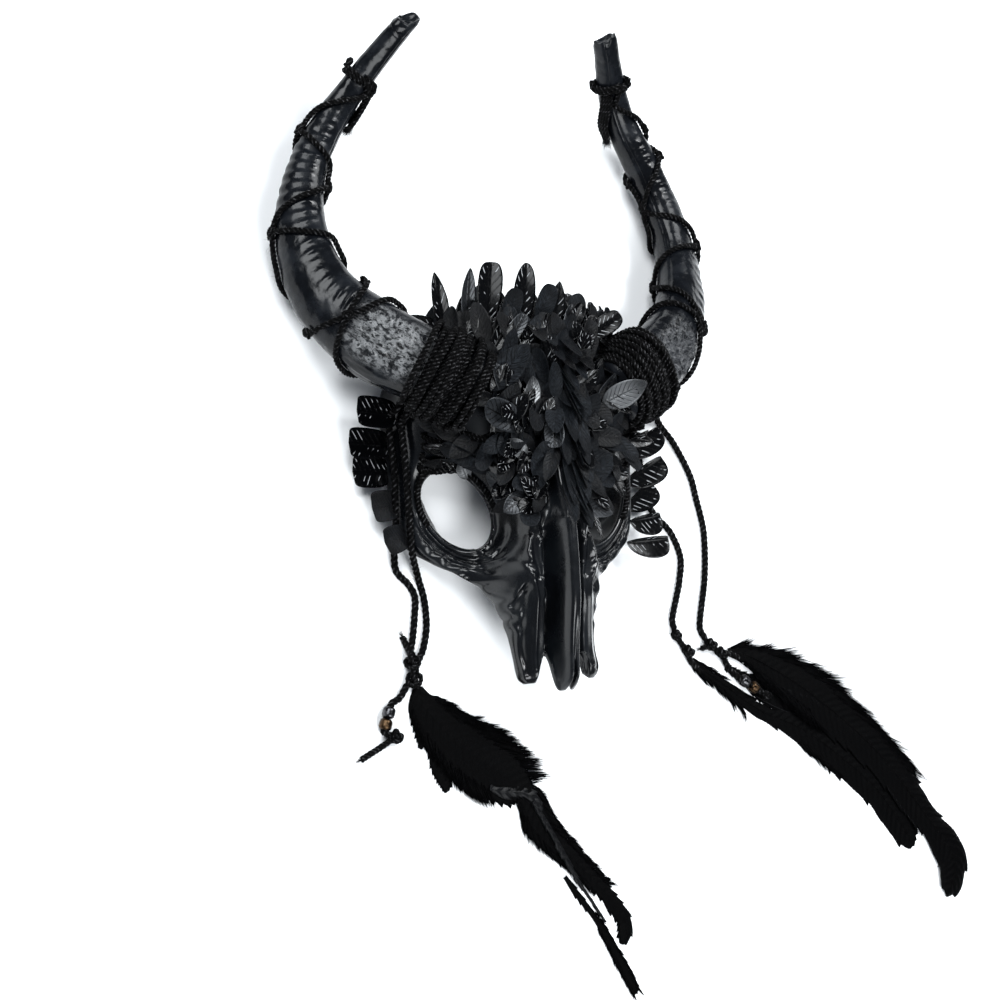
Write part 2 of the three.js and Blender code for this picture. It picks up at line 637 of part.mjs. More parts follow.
function leafFrame([x, y, heading, rise, , , lift], level) {
  const { point, normal } = onShell(x, y, lift);
  const flat = new THREE.Vector3(Math.cos(heading * DEG), Math.sin(heading * DEG), 0);
  const face = level ? new THREE.Vector3(0, 0, 1) : normal;
  const ahead = flat.addScaledVector(face, -flat.dot(face)).normalize();
  const side = new THREE.Vector3().crossVectors(face, ahead).normalize();
  const tilt = rise * DEG;
  const direction = ahead.clone().multiplyScalar(Math.cos(tilt))
    .addScaledVector(face, Math.sin(tilt));
  return { point, direction, side, up: new THREE.Vector3().crossVectors(direction, side) };
}

function leafGeometry(leaf, level, grow = 0) {
  const { point, direction, side, up } = leafFrame(leaf, level);
  const length = leaf[4] + 2 * grow;
  const width = leaf[5] + 2 * grow;
  const thick = LEAF_THICKNESS / 2 + grow;
  const start = point.clone().addScaledVector(direction, -grow);
  const at = (f, across, rise) => start.clone().addScaledVector(direction, f * length)
    .addScaledVector(side, across)
    .addScaledVector(up, rise + LEAF_CURL * f * f * leaf[4]).toArray();
  const rings = LEAF_STATIONS.map(([f, k]) => {
    const half = width * k / 2;
    return [at(f, -half, LEAF_DISH * half), at(f, 0, thick), at(f, half, LEAF_DISH * half),
      at(f, 0, -thick)];
  });
  return loft(rings, at(0, 0, 0), at(1, 0, 0));
}

// Thin cloth that follows a block of the shell's own rows and columns.
function backing({ rows: [low, high], columns: [first, last] }, side) {
  const ends = [side * first, side * last].sort((a, b) => a - b);
  const block = (grow) => shellGrid(grow).slice(low, high + 1).map((row) =>
    row.slice(HALF_COLUMNS + ends[0], HALF_COLUMNS + ends[1] + 1));
  return sheet(block(BACKING_LIFT + BACKING_THICKNESS), block(BACKING_LIFT));
}

function feather({ stations, low, high }) {
  const rings = stations.map(([x, y, width], i) => {
    const a = stations[Math.max(0, i - 1)];
    const b = stations[Math.min(stations.length - 1, i + 1)];
    const l = Math.hypot(b[0] - a[0], b[1] - a[1]);
    const ahead = [(b[0] - a[0]) / l, (b[1] - a[1]) / l];
    const place = (k, z) => [x - ahead[1] * k * width / 2, y + ahead[0] * k * width / 2, z];
    const [left, right] = low;
    const middle = (left + right) / 2;
    return [place(1, left + 0.2), place(0.5, left + 0.75 * high), place(0, middle + high),
      place(-0.5, right + 0.75 * high), place(-1, right + 0.2), place(0, middle)];
  });
  return loft(rings);
}

function knotSolid(name) {
  const lumps = KNOTS[name].map(([x, y, z, halfLength, halfWidth, heading]) => {
    const g = new THREE.SphereGeometry(1, 8, 4);
    g.scale(halfLength, halfWidth, Math.min(halfWidth, z) - 0.05);
    g.rotateZ(heading * DEG);
    g.translate(x, y, z);
    return solid(g);
  });
  const tail = KNOT_TAILS[name];
  if (tail) {
    lumps.push(solid(tube(tail.map((p) => new THREE.Vector3(...p)), CORD_RADIUS, CORD_SIDES)));
  }
  return lumps.reduce((a, b) => a.add(b));
}

function beadGeometry(name) {
  const [place, axis] = BEADS[name];
  const { radius, hole, halfLength, sides } = BEAD;
  const profile = [[hole, -halfLength], [radius * 0.75, -halfLength * 0.85], [radius, 0],
    [radius * 0.75, halfLength * 0.85], [hole, halfLength], [hole, -halfLength]];
  const g = new THREE.LatheGeometry(profile.map(([r, z]) => new THREE.Vector2(r, z)), sides);
  g.applyQuaternion(new THREE.Quaternion().setFromUnitVectors(
    new THREE.Vector3(0, 1, 0), new THREE.Vector3(axis[0], axis[1], 0).normalize()));
  g.translate(...place);
  return g;
}

// Cord path: straight out of its coil, then through the points of its route.
function cordPath(name) {
  const route = CORD_ROUTES[name].map((p) => new THREE.Vector3(...p));
  const exit = CORD_EXITS[name];
  if (!exit) return route;
  const side = name.startsWith("left") ? -1 : 1;
  const out = WRAP.gap + WRAP.rope + GAP;
  const start = hornPoint(exit[0], exit[1], out);
  const next = hornPoint(exit[0], exit[1], out + 4);
  return [start, next].map((p) => p.setX(side * p.x)).concat(route);
}

const LEAF_LOOK = { color: 0x0c0e10, roughness: 0.35 };
const FEATHER_LOOK = { color: 0x060608, roughness: 0.6 };
const STEEL_LOOK = { color: 0x4a4c52, roughness: 0.3, metalness: 0.9 };
const BRONZE_LOOK = { color: 0x7a5230, roughness: 0.32, metalness: 0.9 };

// Room kept free round the pieces placed so far.
let taken = [-1, 1].map((side) => solid(mirrorX(loft(hornRings(GAP)), side)))
  .concat([-1, 1].map((side) => solid(mirrorX(loft([WRAP.from - 1, 22, WRAP.to].map(
    (length) => ring(length, WRAP.gap + WRAP.rope + GAP))), side))))
  .reduce((a, b) => a.add(b));

for (const name of Object.keys(CORD_ROUTES)) {
  const path = cordPath(name);
  addPiece("cord_" + name, tube(path, CORD_RADIUS, CORD_SIDES), ROPE_LOOK);
  taken = taken.add(solid(tube(path, CORD_RADIUS + GAP, CORD_SIDES)));
}
for (const name of Object.keys(KNOTS)) {
  addPiece(name, largestBody(knotSolid(name).subtract(taken)), ROPE_LOOK);
}
for (const name of Object.keys(BEADS)) {
  addPiece(name, beadGeometry(name), name.endsWith("steel") ? STEEL_LOOK : BRONZE_LOOK);
}
for (const [name, data] of Object.entries(FEATHERS)) {
  addPiece(name, feather(data), FEATHER_LOOK);
}

function addLeaf(name, leaf, level) {
  const trimmed = solid(leafGeometry(leaf, level)).subtract(envelope).subtract(taken);
  addPiece(name, largestBody(trimmed), LEAF_LOOK);
  taken = taken.add(solid(leafGeometry(leaf, level, GAP + 0.1)));
}
CROWN_LEAVES.forEach((leaf, i) => addLeaf("leaf_crown_" + (i + 1), leaf, true));
for (const side of ["left", "right"]) {
  SIDE_LEAVES[side].forEach((leaf, i) =>
    addLeaf("leaf_side_" + side + "_" + (i + 1), leaf, true));
}
BIG_LEAVES.forEach((leaf, i) => addLeaf("leaf_brow_" + (i + 1), leaf, false));

// Small leaves of one side, sewn over each other on a thin backing.
function fieldLeaves(side) {
  const leaves = [];
  const pick = ([least, more], n) => least + more * scatter(n);
  const turned = (heading) => (side < 0 ? heading : 180 - heading);
  FIELD_ROWS.forEach((y, i) => FIELD_COLUMNS.forEach((x, j) => {
    const n = 10 * i + j + (side > 0 ? 100 : 0);
    const heading = FIELD_HEADING - FIELD_TURN * j + FIELD_SCATTER.heading * (scatter(n) - 0.5);
    leaves.push([side * (x + FIELD_SCATTER.x * scatter(n + 0.3)),
      y + FIELD_SCATTER.y * scatter(n + 0.6), turned(heading), pick(FIELD_LEAF.rise, n + 0.1),
      pick(FIELD_LEAF.length, n + 0.8), pick(FIELD_LEAF.width, n + 0.5), FIELD_LEAF.lift]);
  }));
  BROW_LEAVES.concat(TEMPLE_LEAVES).forEach(([x, y, heading], i) => leaves.push([side * x, y,
    turned(heading), LOW_LEAF.rise, pick(LOW_LEAF.length, i + side), LOW_LEAF.width,
    FIELD_LEAF.lift]));
  return leaves;
}

for (const [name, side] of [["left", -1], ["right", 1]]) {
  const field = fieldLeaves(side).map((leaf) => solid(leafGeometry(leaf, false)))
    .reduce((a, b) => a.add(b), solid(backing(FIELD_BACKING, side)));
  const body = field.subtract(envelope).subtract(taken);
  addPiece("leaf_field_" + name, largestBody(body), LEAF_LOOK);
}

// Long narrow leaves down the ridge, on a strip of their own.
const strip = STRIP_LEAVES.map((leaf) => solid(leafGeometry(leaf, false)))
  .reduce((a, b) => a.add(b), solid(backing(STRIP_BACKING, 1)));
addPiece("leaf_strip", largestBody(strip.subtract(envelope).subtract(taken)), LEAF_LOOK);

group.position.y = -MIDDLE_Y;
export default group;
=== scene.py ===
# Looks of the horned skull mask: glossy skull, ribbed horns, rope, leaves, beads and feathers.
# Shapes are worked out in millimetres, with y counted from the brow line,
# and makePiece moves them to the row frame in metres.
import json

import bpy
import numpy as np
from mathutils import Matrix

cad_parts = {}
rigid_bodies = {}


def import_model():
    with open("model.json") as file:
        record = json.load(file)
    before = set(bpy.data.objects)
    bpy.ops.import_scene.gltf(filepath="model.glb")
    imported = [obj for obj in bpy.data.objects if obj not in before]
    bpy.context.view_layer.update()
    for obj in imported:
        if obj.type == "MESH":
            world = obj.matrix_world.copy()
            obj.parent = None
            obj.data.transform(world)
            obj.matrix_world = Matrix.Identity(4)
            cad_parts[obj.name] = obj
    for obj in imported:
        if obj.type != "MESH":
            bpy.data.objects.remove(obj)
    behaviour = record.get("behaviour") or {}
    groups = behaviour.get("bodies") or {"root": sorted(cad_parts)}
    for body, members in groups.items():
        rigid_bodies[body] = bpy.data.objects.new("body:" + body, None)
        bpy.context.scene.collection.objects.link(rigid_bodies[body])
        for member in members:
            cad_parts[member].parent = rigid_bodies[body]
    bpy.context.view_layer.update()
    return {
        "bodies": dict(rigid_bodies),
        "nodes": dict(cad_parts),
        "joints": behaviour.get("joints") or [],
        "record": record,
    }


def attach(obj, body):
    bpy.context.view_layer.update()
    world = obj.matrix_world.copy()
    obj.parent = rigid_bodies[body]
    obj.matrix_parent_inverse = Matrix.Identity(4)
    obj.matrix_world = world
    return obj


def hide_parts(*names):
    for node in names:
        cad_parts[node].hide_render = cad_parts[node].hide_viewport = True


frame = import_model()
scene = bpy.context.scene

middleY = 87.4  # the row frame's origin, counted from the brow line
degree = np.pi / 180


# Small numeric helpers
def smooth(low, high, x):
    # Smooth step from 0 at low to 1 at high.
    k = np.clip((x - low) / (high - low), 0, 1)
    return k * k * (3 - 2 * k)


def window(value, start, full, fall, end):
    # 1 from full to fall, fading to 0 at start and at end.
    return smooth(start, full, value) * (1 - smooth(fall, end, value))


def bell(value, centre, width):
    # 1 at the centre, fading to 0 some two widths away.
    return np.exp(-(((value - centre) / width) ** 2))


def unit(v):
    return v / np.maximum(np.linalg.norm(v, axis=-1, keepdims=True), 1e-9)


def squareTo(direction, tangent):
    # Unit vector of the part of a direction that is square to the tangent.
    return unit(direction - (direction * tangent).sum(-1, keepdims=True) * tangent)


def scatter(n):
    # Repeatable number from 0 to 1 for piece number n.
    k = np.sin(np.asarray(n, float) * 12.9898) * 43758.5453
    return k - np.floor(k)


def scatterAround(n, shifts):
    # Repeatable vector within a cube round 0 for each piece number.
    return np.stack([scatter(n + shift) - 0.5 for shift in shifts], 1)


def alongTable(table, x):
    # Cubic curve through the rows of a table; the first column is x, slopes come from neighbours.
    t = np.asarray(table, float)
    x = np.asarray(x, float)
    last = len(t) - 1
    i = np.searchsorted(t[1:last, 0], x, side="left")
    a, b = t[i], t[i + 1]
    before, after = t[np.maximum(i - 1, 0)], t[np.minimum(i + 2, last)]
    h = (b - a)[..., :1]
    k = np.clip((x[..., None] - a[..., :1]) / h, 0, 1)
    run = (b - a) / h
    slopeA = np.where((i > 0)[..., None], (b - before) / np.maximum((b - before)[..., :1], 1e-9), run)
    slopeB = np.where((i < last - 1)[..., None], (after - a) / (after - a)[..., :1], run)
    value = ((2 * k**3 - 3 * k**2 + 1) * a + (k**3 - 2 * k**2 + k) * h * slopeA
             + (3 * k**2 - 2 * k**3) * b + (k**3 - k**2) * h * slopeB)
    return np.moveaxis(value[..., 1:], -1, 0)


def bumps(points, size, seed):
    # Value noise from -1 to 1: random heights on a cubic lattice, blended between its corners.
    p = points / size
    cell = np.floor(p)
    f = p - cell
    f = f * f * (3 - 2 * f)
    total = 0
    for corner in np.ndindex(2, 2, 2):
        c = np.array(corner)
        k = np.sin((cell + c) @ np.array([12.9898, 78.233, 37.719]) + seed * 4.1) * 43758.5453
        total = total + np.prod(np.where(c, f, 1 - f), axis=-1) * (k - np.floor(k))
    return total * 2 - 1


def alongLine(points):
    # Distance from the start of a line to each of its points.
    return np.concatenate([[0], np.cumsum(np.linalg.norm(np.diff(points, axis=0), axis=1))])


def evenPath(points, step, extra=0):
    # The same line with its points at even steps.
    run = alongLine(points)
    even = np.linspace(0, run[-1], max(2, int(run[-1] / step) + extra))
    return np.stack([np.interp(even, run, points[:, k]) for k in range(3)], 1)


def smoothPath(points, step):
    # Catmull-Rom curve through the points, read off at even steps along its length.
    p = np.asarray(points, float)
    p = np.concatenate([[2 * p[0] - p[1]], p, [2 * p[-1] - p[-2]]])
    t = np.linspace(0, 1, 60, endpoint=False)[:, None]
    rows = []
    for a, b, c, d in zip(p, p[1:], p[2:], p[3:]):
        rows.append(b + t * (c - a) / 2 + t**2 * (a - 2.5 * b + 2 * c - d / 2)
                    + t**3 * (1.5 * (b - c) + (d - a) / 2))
    return evenPath(np.concatenate(rows + [p[-2:-1]]), step, 1)


def pathLength(path):
    return float(np.linalg.norm(np.diff(path, axis=0), axis=1).sum())


# Mesh helpers
def gridFaces(rows, columns, closeRows=False, closeColumns=False):
    # Four-sided faces of a grid of points, which may run round in either direction.
    i = np.arange(rows if closeRows else rows - 1)[:, None]
    j = np.arange(columns if closeColumns else columns - 1)[None, :]
    a = i * columns + j
    b = i * columns + (j + 1) % columns
    c = ((i + 1) % rows) * columns + (j + 1) % columns
    d = ((i + 1) % rows) * columns + j
    return np.stack([a, b, c, d], -1).reshape(-1, 4)


def edgeLoop(rows, columns):
    # Point numbers round the border of a grid.
    top = np.arange(columns)
    right = np.arange(1, rows) * columns + columns - 1
    bottom = (rows - 1) * columns + np.arange(columns - 2, -1, -1)
    left = np.arange(rows - 2, 0, -1) * columns
    return np.concatenate([top, right, bottom, left])


def sheetPart(upper, lower, faces, walls, uv, finish):
    # Two grids of points with the same faces, the lower ones turned over, and walls between them.
    flat = np.stack([uv[0].ravel(), uv[1].ravel()], 1)
    return {"points": np.concatenate([upper.reshape(-1, 3), lower.reshape(-1, 3)]),
            "faces": [faces, faces[:, ::-1] + len(flat), walls],
            "uv": np.concatenate([flat, flat]), "finish": finish}


def skin(upper, lower, uv, finish=0):
    # Closed sheet between two grids of points, joined round the border.
    rows, columns = upper.shape[:2]
    loop = edgeLoop(rows, columns)
    after = np.roll(loop, -1)
    n = rows * columns
    walls = np.stack([loop, loop + n, after + n, after], 1)
    return sheetPart(upper, lower, gridFaces(rows, columns), walls, uv, finish)


def skinWithHoles(upper, lower, keep, uv):
    # Closed sheet between two grids that leaves out the cells where keep is false.
    rows, columns = upper.shape[:2]
    n = rows * columns
    cells = gridFaces(rows, columns).reshape(rows - 1, columns - 1, 4)
    padded = np.pad(keep, 1)
    walls = []
    for (di, dj), (p, q) in {(-1, 0): (0, 1), (0, 1): (1, 2), (1, 0): (2, 3), (0, -1): (3, 0)}.items():
        gone = ~padded[1 + di:rows + di, 1 + dj:columns + dj] & keep
        edge = cells[gone]
        walls.append(np.stack([edge[:, p], edge[:, p] + n, edge[:, q] + n, edge[:, q]], 1))
    return sheetPart(upper, lower, cells[keep], np.concatenate(walls), uv, 0)


def ringPoints(centres, size, outA, outB, sides):
    # A ring of points round each centre; outA and outB span it.
    angle = (np.arange(sides) * 2 * np.pi / sides)[None, :, None]
    return centres[:, None] + size * (np.cos(angle) * outA[:, None] + np.sin(angle) * outB[:, None])


def closedRings(rings):
    # Rings of points that also close on each other.
    rows, columns = rings.shape[:2]
    return {"points": rings.reshape(-1, 3), "uv": np.zeros((rows * columns, 2)), "finish": 0,
            "faces": [gridFaces(rows, columns, closeRows=True, closeColumns=True)]}


def cappedFaces(rows, sides):
    # Faces of rings that are closed by two points, which come after the rings.
    k = np.arange(sides)
    after = (k + 1) % sides
    last = (rows - 1) * sides
    return [gridFaces(rows, sides, closeColumns=True),
            np.stack([after, k, np.full(sides, rows * sides)], 1),
            np.stack([k + last, after + last, np.full(sides, rows * sides + 1)], 1)]


def tube(centres, outA, outB, radius, sides, finish=0, run=None):
    # Tube of the given radius round a line; outA and outB span each ring. Its ends are closed.
    n = len(centres)
    radius = np.broadcast_to(radius, (n,))[:, None, None]
    rings = ringPoints(centres, radius, outA, outB, sides)
    points = np.concatenate([rings.reshape(-1, 3), centres[:1], centres[-1:]])
    if run is None:
        run = alongLine(centres)
    turn = np.arange(sides)[None, :] / sides
    uv = np.stack(np.broadcast_arrays(run[:, None], turn), -1).reshape(-1, 2)
    return {"points": points, "faces": cappedFaces(n, sides),
            "uv": np.concatenate([uv, [[0, 0], [run[-1], 0]]]), "finish": finish}


def outwardFaces(part):
    # Turns all faces round where the closed part encloses a negative volume.
    p = part["points"]
    six = 0
    for f in part["faces"]:
        for k in range(1, f.shape[1] - 1):
            six += np.einsum("ij,ij->", p[f[:, 0]], np.cross(p[f[:, k]], p[f[:, k + 1]]))
    if six < 0:
        part["faces"] = [f[:, ::-1] for f in part["faces"]]
    return part


def toFrame(points):
    # From millimetres counted from the brow line to the row frame in metres.
    return (points - [0, middleY, 0]) / 1000


def makePiece(name, parts, finishes, cadNodes=()):
    # One mesh piece from closed parts, moved to the row frame in metres.
    points, uvs, faces, marks, base = [], [], [], [], 0
    for part in map(outwardFaces, parts):
        points.append(part["points"])
        uvs.append(part["uv"])
        for f in part["faces"]:
            faces += (f + base).tolist()
            marks.append(np.full(len(f), part["finish"], np.int32))
        base += len(part["points"])
    mesh = bpy.data.meshes.new(name)
    mesh.from_pydata(toFrame(np.concatenate(points)).tolist(), [], faces)
    mesh.polygons.foreach_set("material_index", np.concatenate(marks))
    mesh.polygons.foreach_set("use_smooth", np.ones(len(faces), bool))
    corner = np.zeros(len(mesh.loops), np.int32)
    mesh.loops.foreach_get("vertex_index", corner)
    layer = mesh.uv_layers.new(name="Surface")
    layer.uv.foreach_set("vector", np.concatenate(uvs)[corner].astype(np.float32).ravel())
    for finish in finishes:
        mesh.materials.append(finish)
    mesh.update()
    piece = bpy.data.objects.new(name, mesh)
    scene.collection.objects.link(piece)
    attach(piece, "root")
    if cadNodes:
        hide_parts(*cadNodes)
    return piece


# Shader helpers
def newGroup(name, values, results):
    # Empty shader node group with a vector, named values and named results.
    group = bpy.data.node_groups.new(name, "ShaderNodeTree")
    for socketName in ["Vector"] + values:
        kind = "NodeSocketVector" if socketName == "Vector" else "NodeSocketFloat"
        group.interface.new_socket(name=socketName, in_out="INPUT", socket_type=kind)
    for socketName in results:
        group.interface.new_socket(name=socketName, in_out="OUTPUT", socket_type="NodeSocketFloat")
    return group, group.nodes.new("NodeGroupInput").outputs


def closeGroup(group, **results):
    # Links the results of a group to its output.
    end = group.nodes.new("NodeGroupOutput")
    for key, value in results.items():
        group.links.new(value, end.inputs[key])
    return group


def useGroup(tree, group, **inputs):
    return put(tree, "ShaderNodeGroup", {"node_tree": group}, **inputs).outputs


def put(tree, kind, settings=None, **inputs):
    # Adds a node; an input takes a number, a tuple or another node's output.
    node = tree.nodes.new(kind)
    for key, value in (settings or {}).items():
        setattr(node, key, value)
    for key, value in inputs.items():
        socket = node.inputs[int(key[1:])] if key[0] == "i" and key[1:].isdigit() else node.inputs[key]
        if isinstance(value, bpy.types.NodeSocket):
            tree.links.new(value, socket)
        else:
            socket.default_value = value
    return node


def calc(tree, operation, *values):
    return put(tree, "ShaderNodeMath", {"operation": operation},
               **{"i%d" % k: value for k, value in enumerate(values)}).outputs[0]


def stretched(tree, vector, scale):
    return put(tree, "ShaderNodeMapping", Vector=vector, Scale=scale).outputs[0]


def noise(tree, vector, scale, detail=4.0, roughness=0.55):
    return put(tree, "ShaderNodeTexNoise", Vector=vector, Scale=scale, Detail=detail,
               Roughness=roughness).outputs[0]


def ramp(tree, value, low, high, start=0.0, end=1.0):
    return put(tree, "ShaderNodeMapRange", {"interpolation_type": "SMOOTHSTEP"}, i0=value,
               i1=low, i2=high, i3=start, i4=end).outputs[0]


def times(tree, a, b):
    return calc(tree, "MULTIPLY", a, b)


def between(tree, value, start, full, fall, end):
    # 1 from full to fall, fading to 0 at start and at end.
    return times(tree, ramp(tree, value, start, full), ramp(tree, value, fall, end, 1.0, 0.0))


def scaledBy(tree, vector, scale):
    return put(tree, "ShaderNodeVectorMath", {"operation": "MULTIPLY"}, i0=vector, i1=scale).outputs[0]


def coordinates(tree, kind):
    return put(tree, "ShaderNodeTexCoord").outputs[kind]


def mouldedSurface():
    # Soft dents, fine pits and a cloudy smear mask, on any coordinates.
    group, given = newGroup("mouldedSurface", ["Scale", "Pits"], ["Height", "Smear"])
    dents = noise(group, given["Vector"], given["Scale"], 5.0)
    pits = noise(group, given["Vector"], times(group, given["Scale"], 7.0), 3.0)
    return closeGroup(group, Height=calc(group, "MULTIPLY_ADD", pits, given["Pits"], dents),
                      Smear=ramp(group, dents, 0.35, 0.7))


def barkPatch():
    # A crumpled patch near the foot of a horn, on UV of millimetres along and turns round. Its
    # raised facets get a painted glint: a light colour that stands in for the lamps' reflections on them.
    group, given = newGroup("barkPatch", [], ["Height", "Light"])
    along, around = put(group, "ShaderNodeSeparateXYZ", Vector=given["Vector"]).outputs[:2]
    patch = times(group, between(group, along, 26.0, 40.0, 72.0, 88.0),
                  between(group, around, 0.14, 0.2, 0.4, 0.47))
    crumple = noise(group, scaledBy(group, given["Vector"], (0.2, 34.0, 1.0)), 1.0, 6.0, 0.7)
    ridged = calc(group, "PINGPONG", times(group, crumple, 3.0), 0.5)
    # Painted glints: the crests of the crumple, where the lamps would shine, are marked for a light colour
    glintFacets = times(group, ramp(group, crumple, 0.42, 0.58), ramp(group, ridged, 0.1, 0.3))
    return closeGroup(group, Height=times(group, ridged, patch), Light=times(group, glintFacets, patch))


def spunFibre():
    # Fine lines that run along a strand, on UV of millimetres along and turns round; the flecks
    # are painted highlights: they lie on the outermost line of the strand, where v is 0, in patches.
    group, given = newGroup("spunFibre", ["Along", "Round"], ["Height", "Fleck"])
    scale = put(group, "ShaderNodeCombineXYZ", X=given["Along"], Y=given["Round"], Z=1.0).outputs[0]
    lines = noise(group, scaledBy(group, given["Vector"], scale), 1.0, 3.0, 0.7)
    turns = put(group, "ShaderNodeSeparateXYZ", Vector=given["Vector"]).outputs[1]
    crown = ramp(group, calc(group, "PINGPONG", turns, 0.5), 0.03, 0.15, 1.0, 0.0)
    patches = ramp(group, noise(group, given["Vector"], 0.55, 1.0), 0.46, 0.6)
    # Painted highlight flecks on the strand crowns
    paintedGlint = times(group, ramp(group, lines, 0.38, 0.62), times(group, crown, patches))
    return closeGroup(group, Height=lines, Fleck=paintedGlint)


def leafVeins():
    # A midrib at v = 0 and side veins that slant forwards, u along and v across. Streak is fine
    # lines beside the side veins; the third result marks the stretches of the side veins that get a
    # painted highlight; Fade is the veins and the leaf's ends.
    group, given = newGroup("leafVeins", ["Count"], ["Vein", "Streak", "Dash", "Fade"])
    u, v = put(group, "ShaderNodeSeparateXYZ", Vector=given["Vector"]).outputs[:2]
    across = calc(group, "ABSOLUTE", v)
    slanted = calc(group, "MULTIPLY_ADD", across, -0.26, u)
    phase = calc(group, "PINGPONG", times(group, slanted, given["Count"]), 0.5)
    sideVein = ramp(group, phase, 0.04, 0.13, 1.0, 0.0)
    inside = between(group, across, 0.02, 0.12, 0.78, 0.95)
    midrib = ramp(group, across, 0.03, 0.08, 1.0, 0.0)
    vein = calc(group, "MAXIMUM", times(group, sideVein, inside), midrib)
    lineAt = put(group, "ShaderNodeCombineXYZ", X=times(group, slanted, 34.0),
                 Y=times(group, v, 3.0), Z=0.0).outputs[0]
    lines = ramp(group, noise(group, lineAt, 1.0, 2.0), 0.38, 0.66)
    cloud = ramp(group, noise(group, coordinates(group, "Object"), 55.0, 1.0), 0.4, 0.6)
    streak = times(group, lines, calc(group, "MULTIPLY_ADD", cloud, 0.8, 0.2))
    ends = calc(group, "MAXIMUM", ramp(group, u, 0.5, 0.95, 0.0, 0.9),
                ramp(group, u, 0.0, 0.3, 0.8, 0.0))
    # Painted highlight: broken dashes along the middle of the side veins
    broken = ramp(group, noise(group, coordinates(group, "Object"), 150.0, 1.0), 0.5, 0.56)
    sides = between(group, across, 0.2, 0.3, 0.72, 0.86)
    return closeGroup(group, Vein=vein, Streak=streak,
                      Dash=times(group, times(group, sideVein, sides), broken),
                      Fade=calc(group, "MAXIMUM", times(group, vein, 0.7), ends))


mouldedGroup, barkGroup, fibreGroup, veinGroup = [
    make() for make in (mouldedSurface, barkPatch, spunFibre, leafVeins)]


def newFinish(name, look):
    # Material with the values that are the same all over; its nodes add what changes.
    finish = bpy.data.materials.new(name)
    finish.use_nodes = True
    shader = finish.node_tree.nodes["Principled BSDF"]
    for key, value in {"Roughness": look["rough"][0], "Metallic": look.get("metallic", 0.0),
                       "Coat Weight": look.get("coat", 0.0),
                       "Coat Roughness": look.get("coatRough", 0.1),
                       "Specular IOR Level": look.get("specular", 0.5)}.items():
        shader.inputs[key].default_value = value
    return finish, finish.node_tree, shader


def tint(tree, shader, mask, dark, light):
    # Base colour that goes from dark to light with the mask, and on beyond light above 1.
    mix = put(tree, "ShaderNodeMix", {"data_type": "RGBA", "clamp_factor": False})
    tree.links.new(mask, mix.inputs["Factor"])
    mix.inputs[6].default_value = (*dark, 1)
    mix.inputs[7].default_value = (*light, 1)
    tree.links.new(mix.outputs[2], shader.inputs["Base Color"])
    return mix


def relief(tree, shader, height, strength, distance):
    bump = put(tree, "ShaderNodeBump", Height=height, Strength=strength, Distance=distance)
    tree.links.new(bump.outputs[0], shader.inputs["Normal"])


def roughBetween(tree, shader, mask, low, high):
    tree.links.new(ramp(tree, mask, 0.0, 1.0, low, high), shader.inputs["Roughness"])


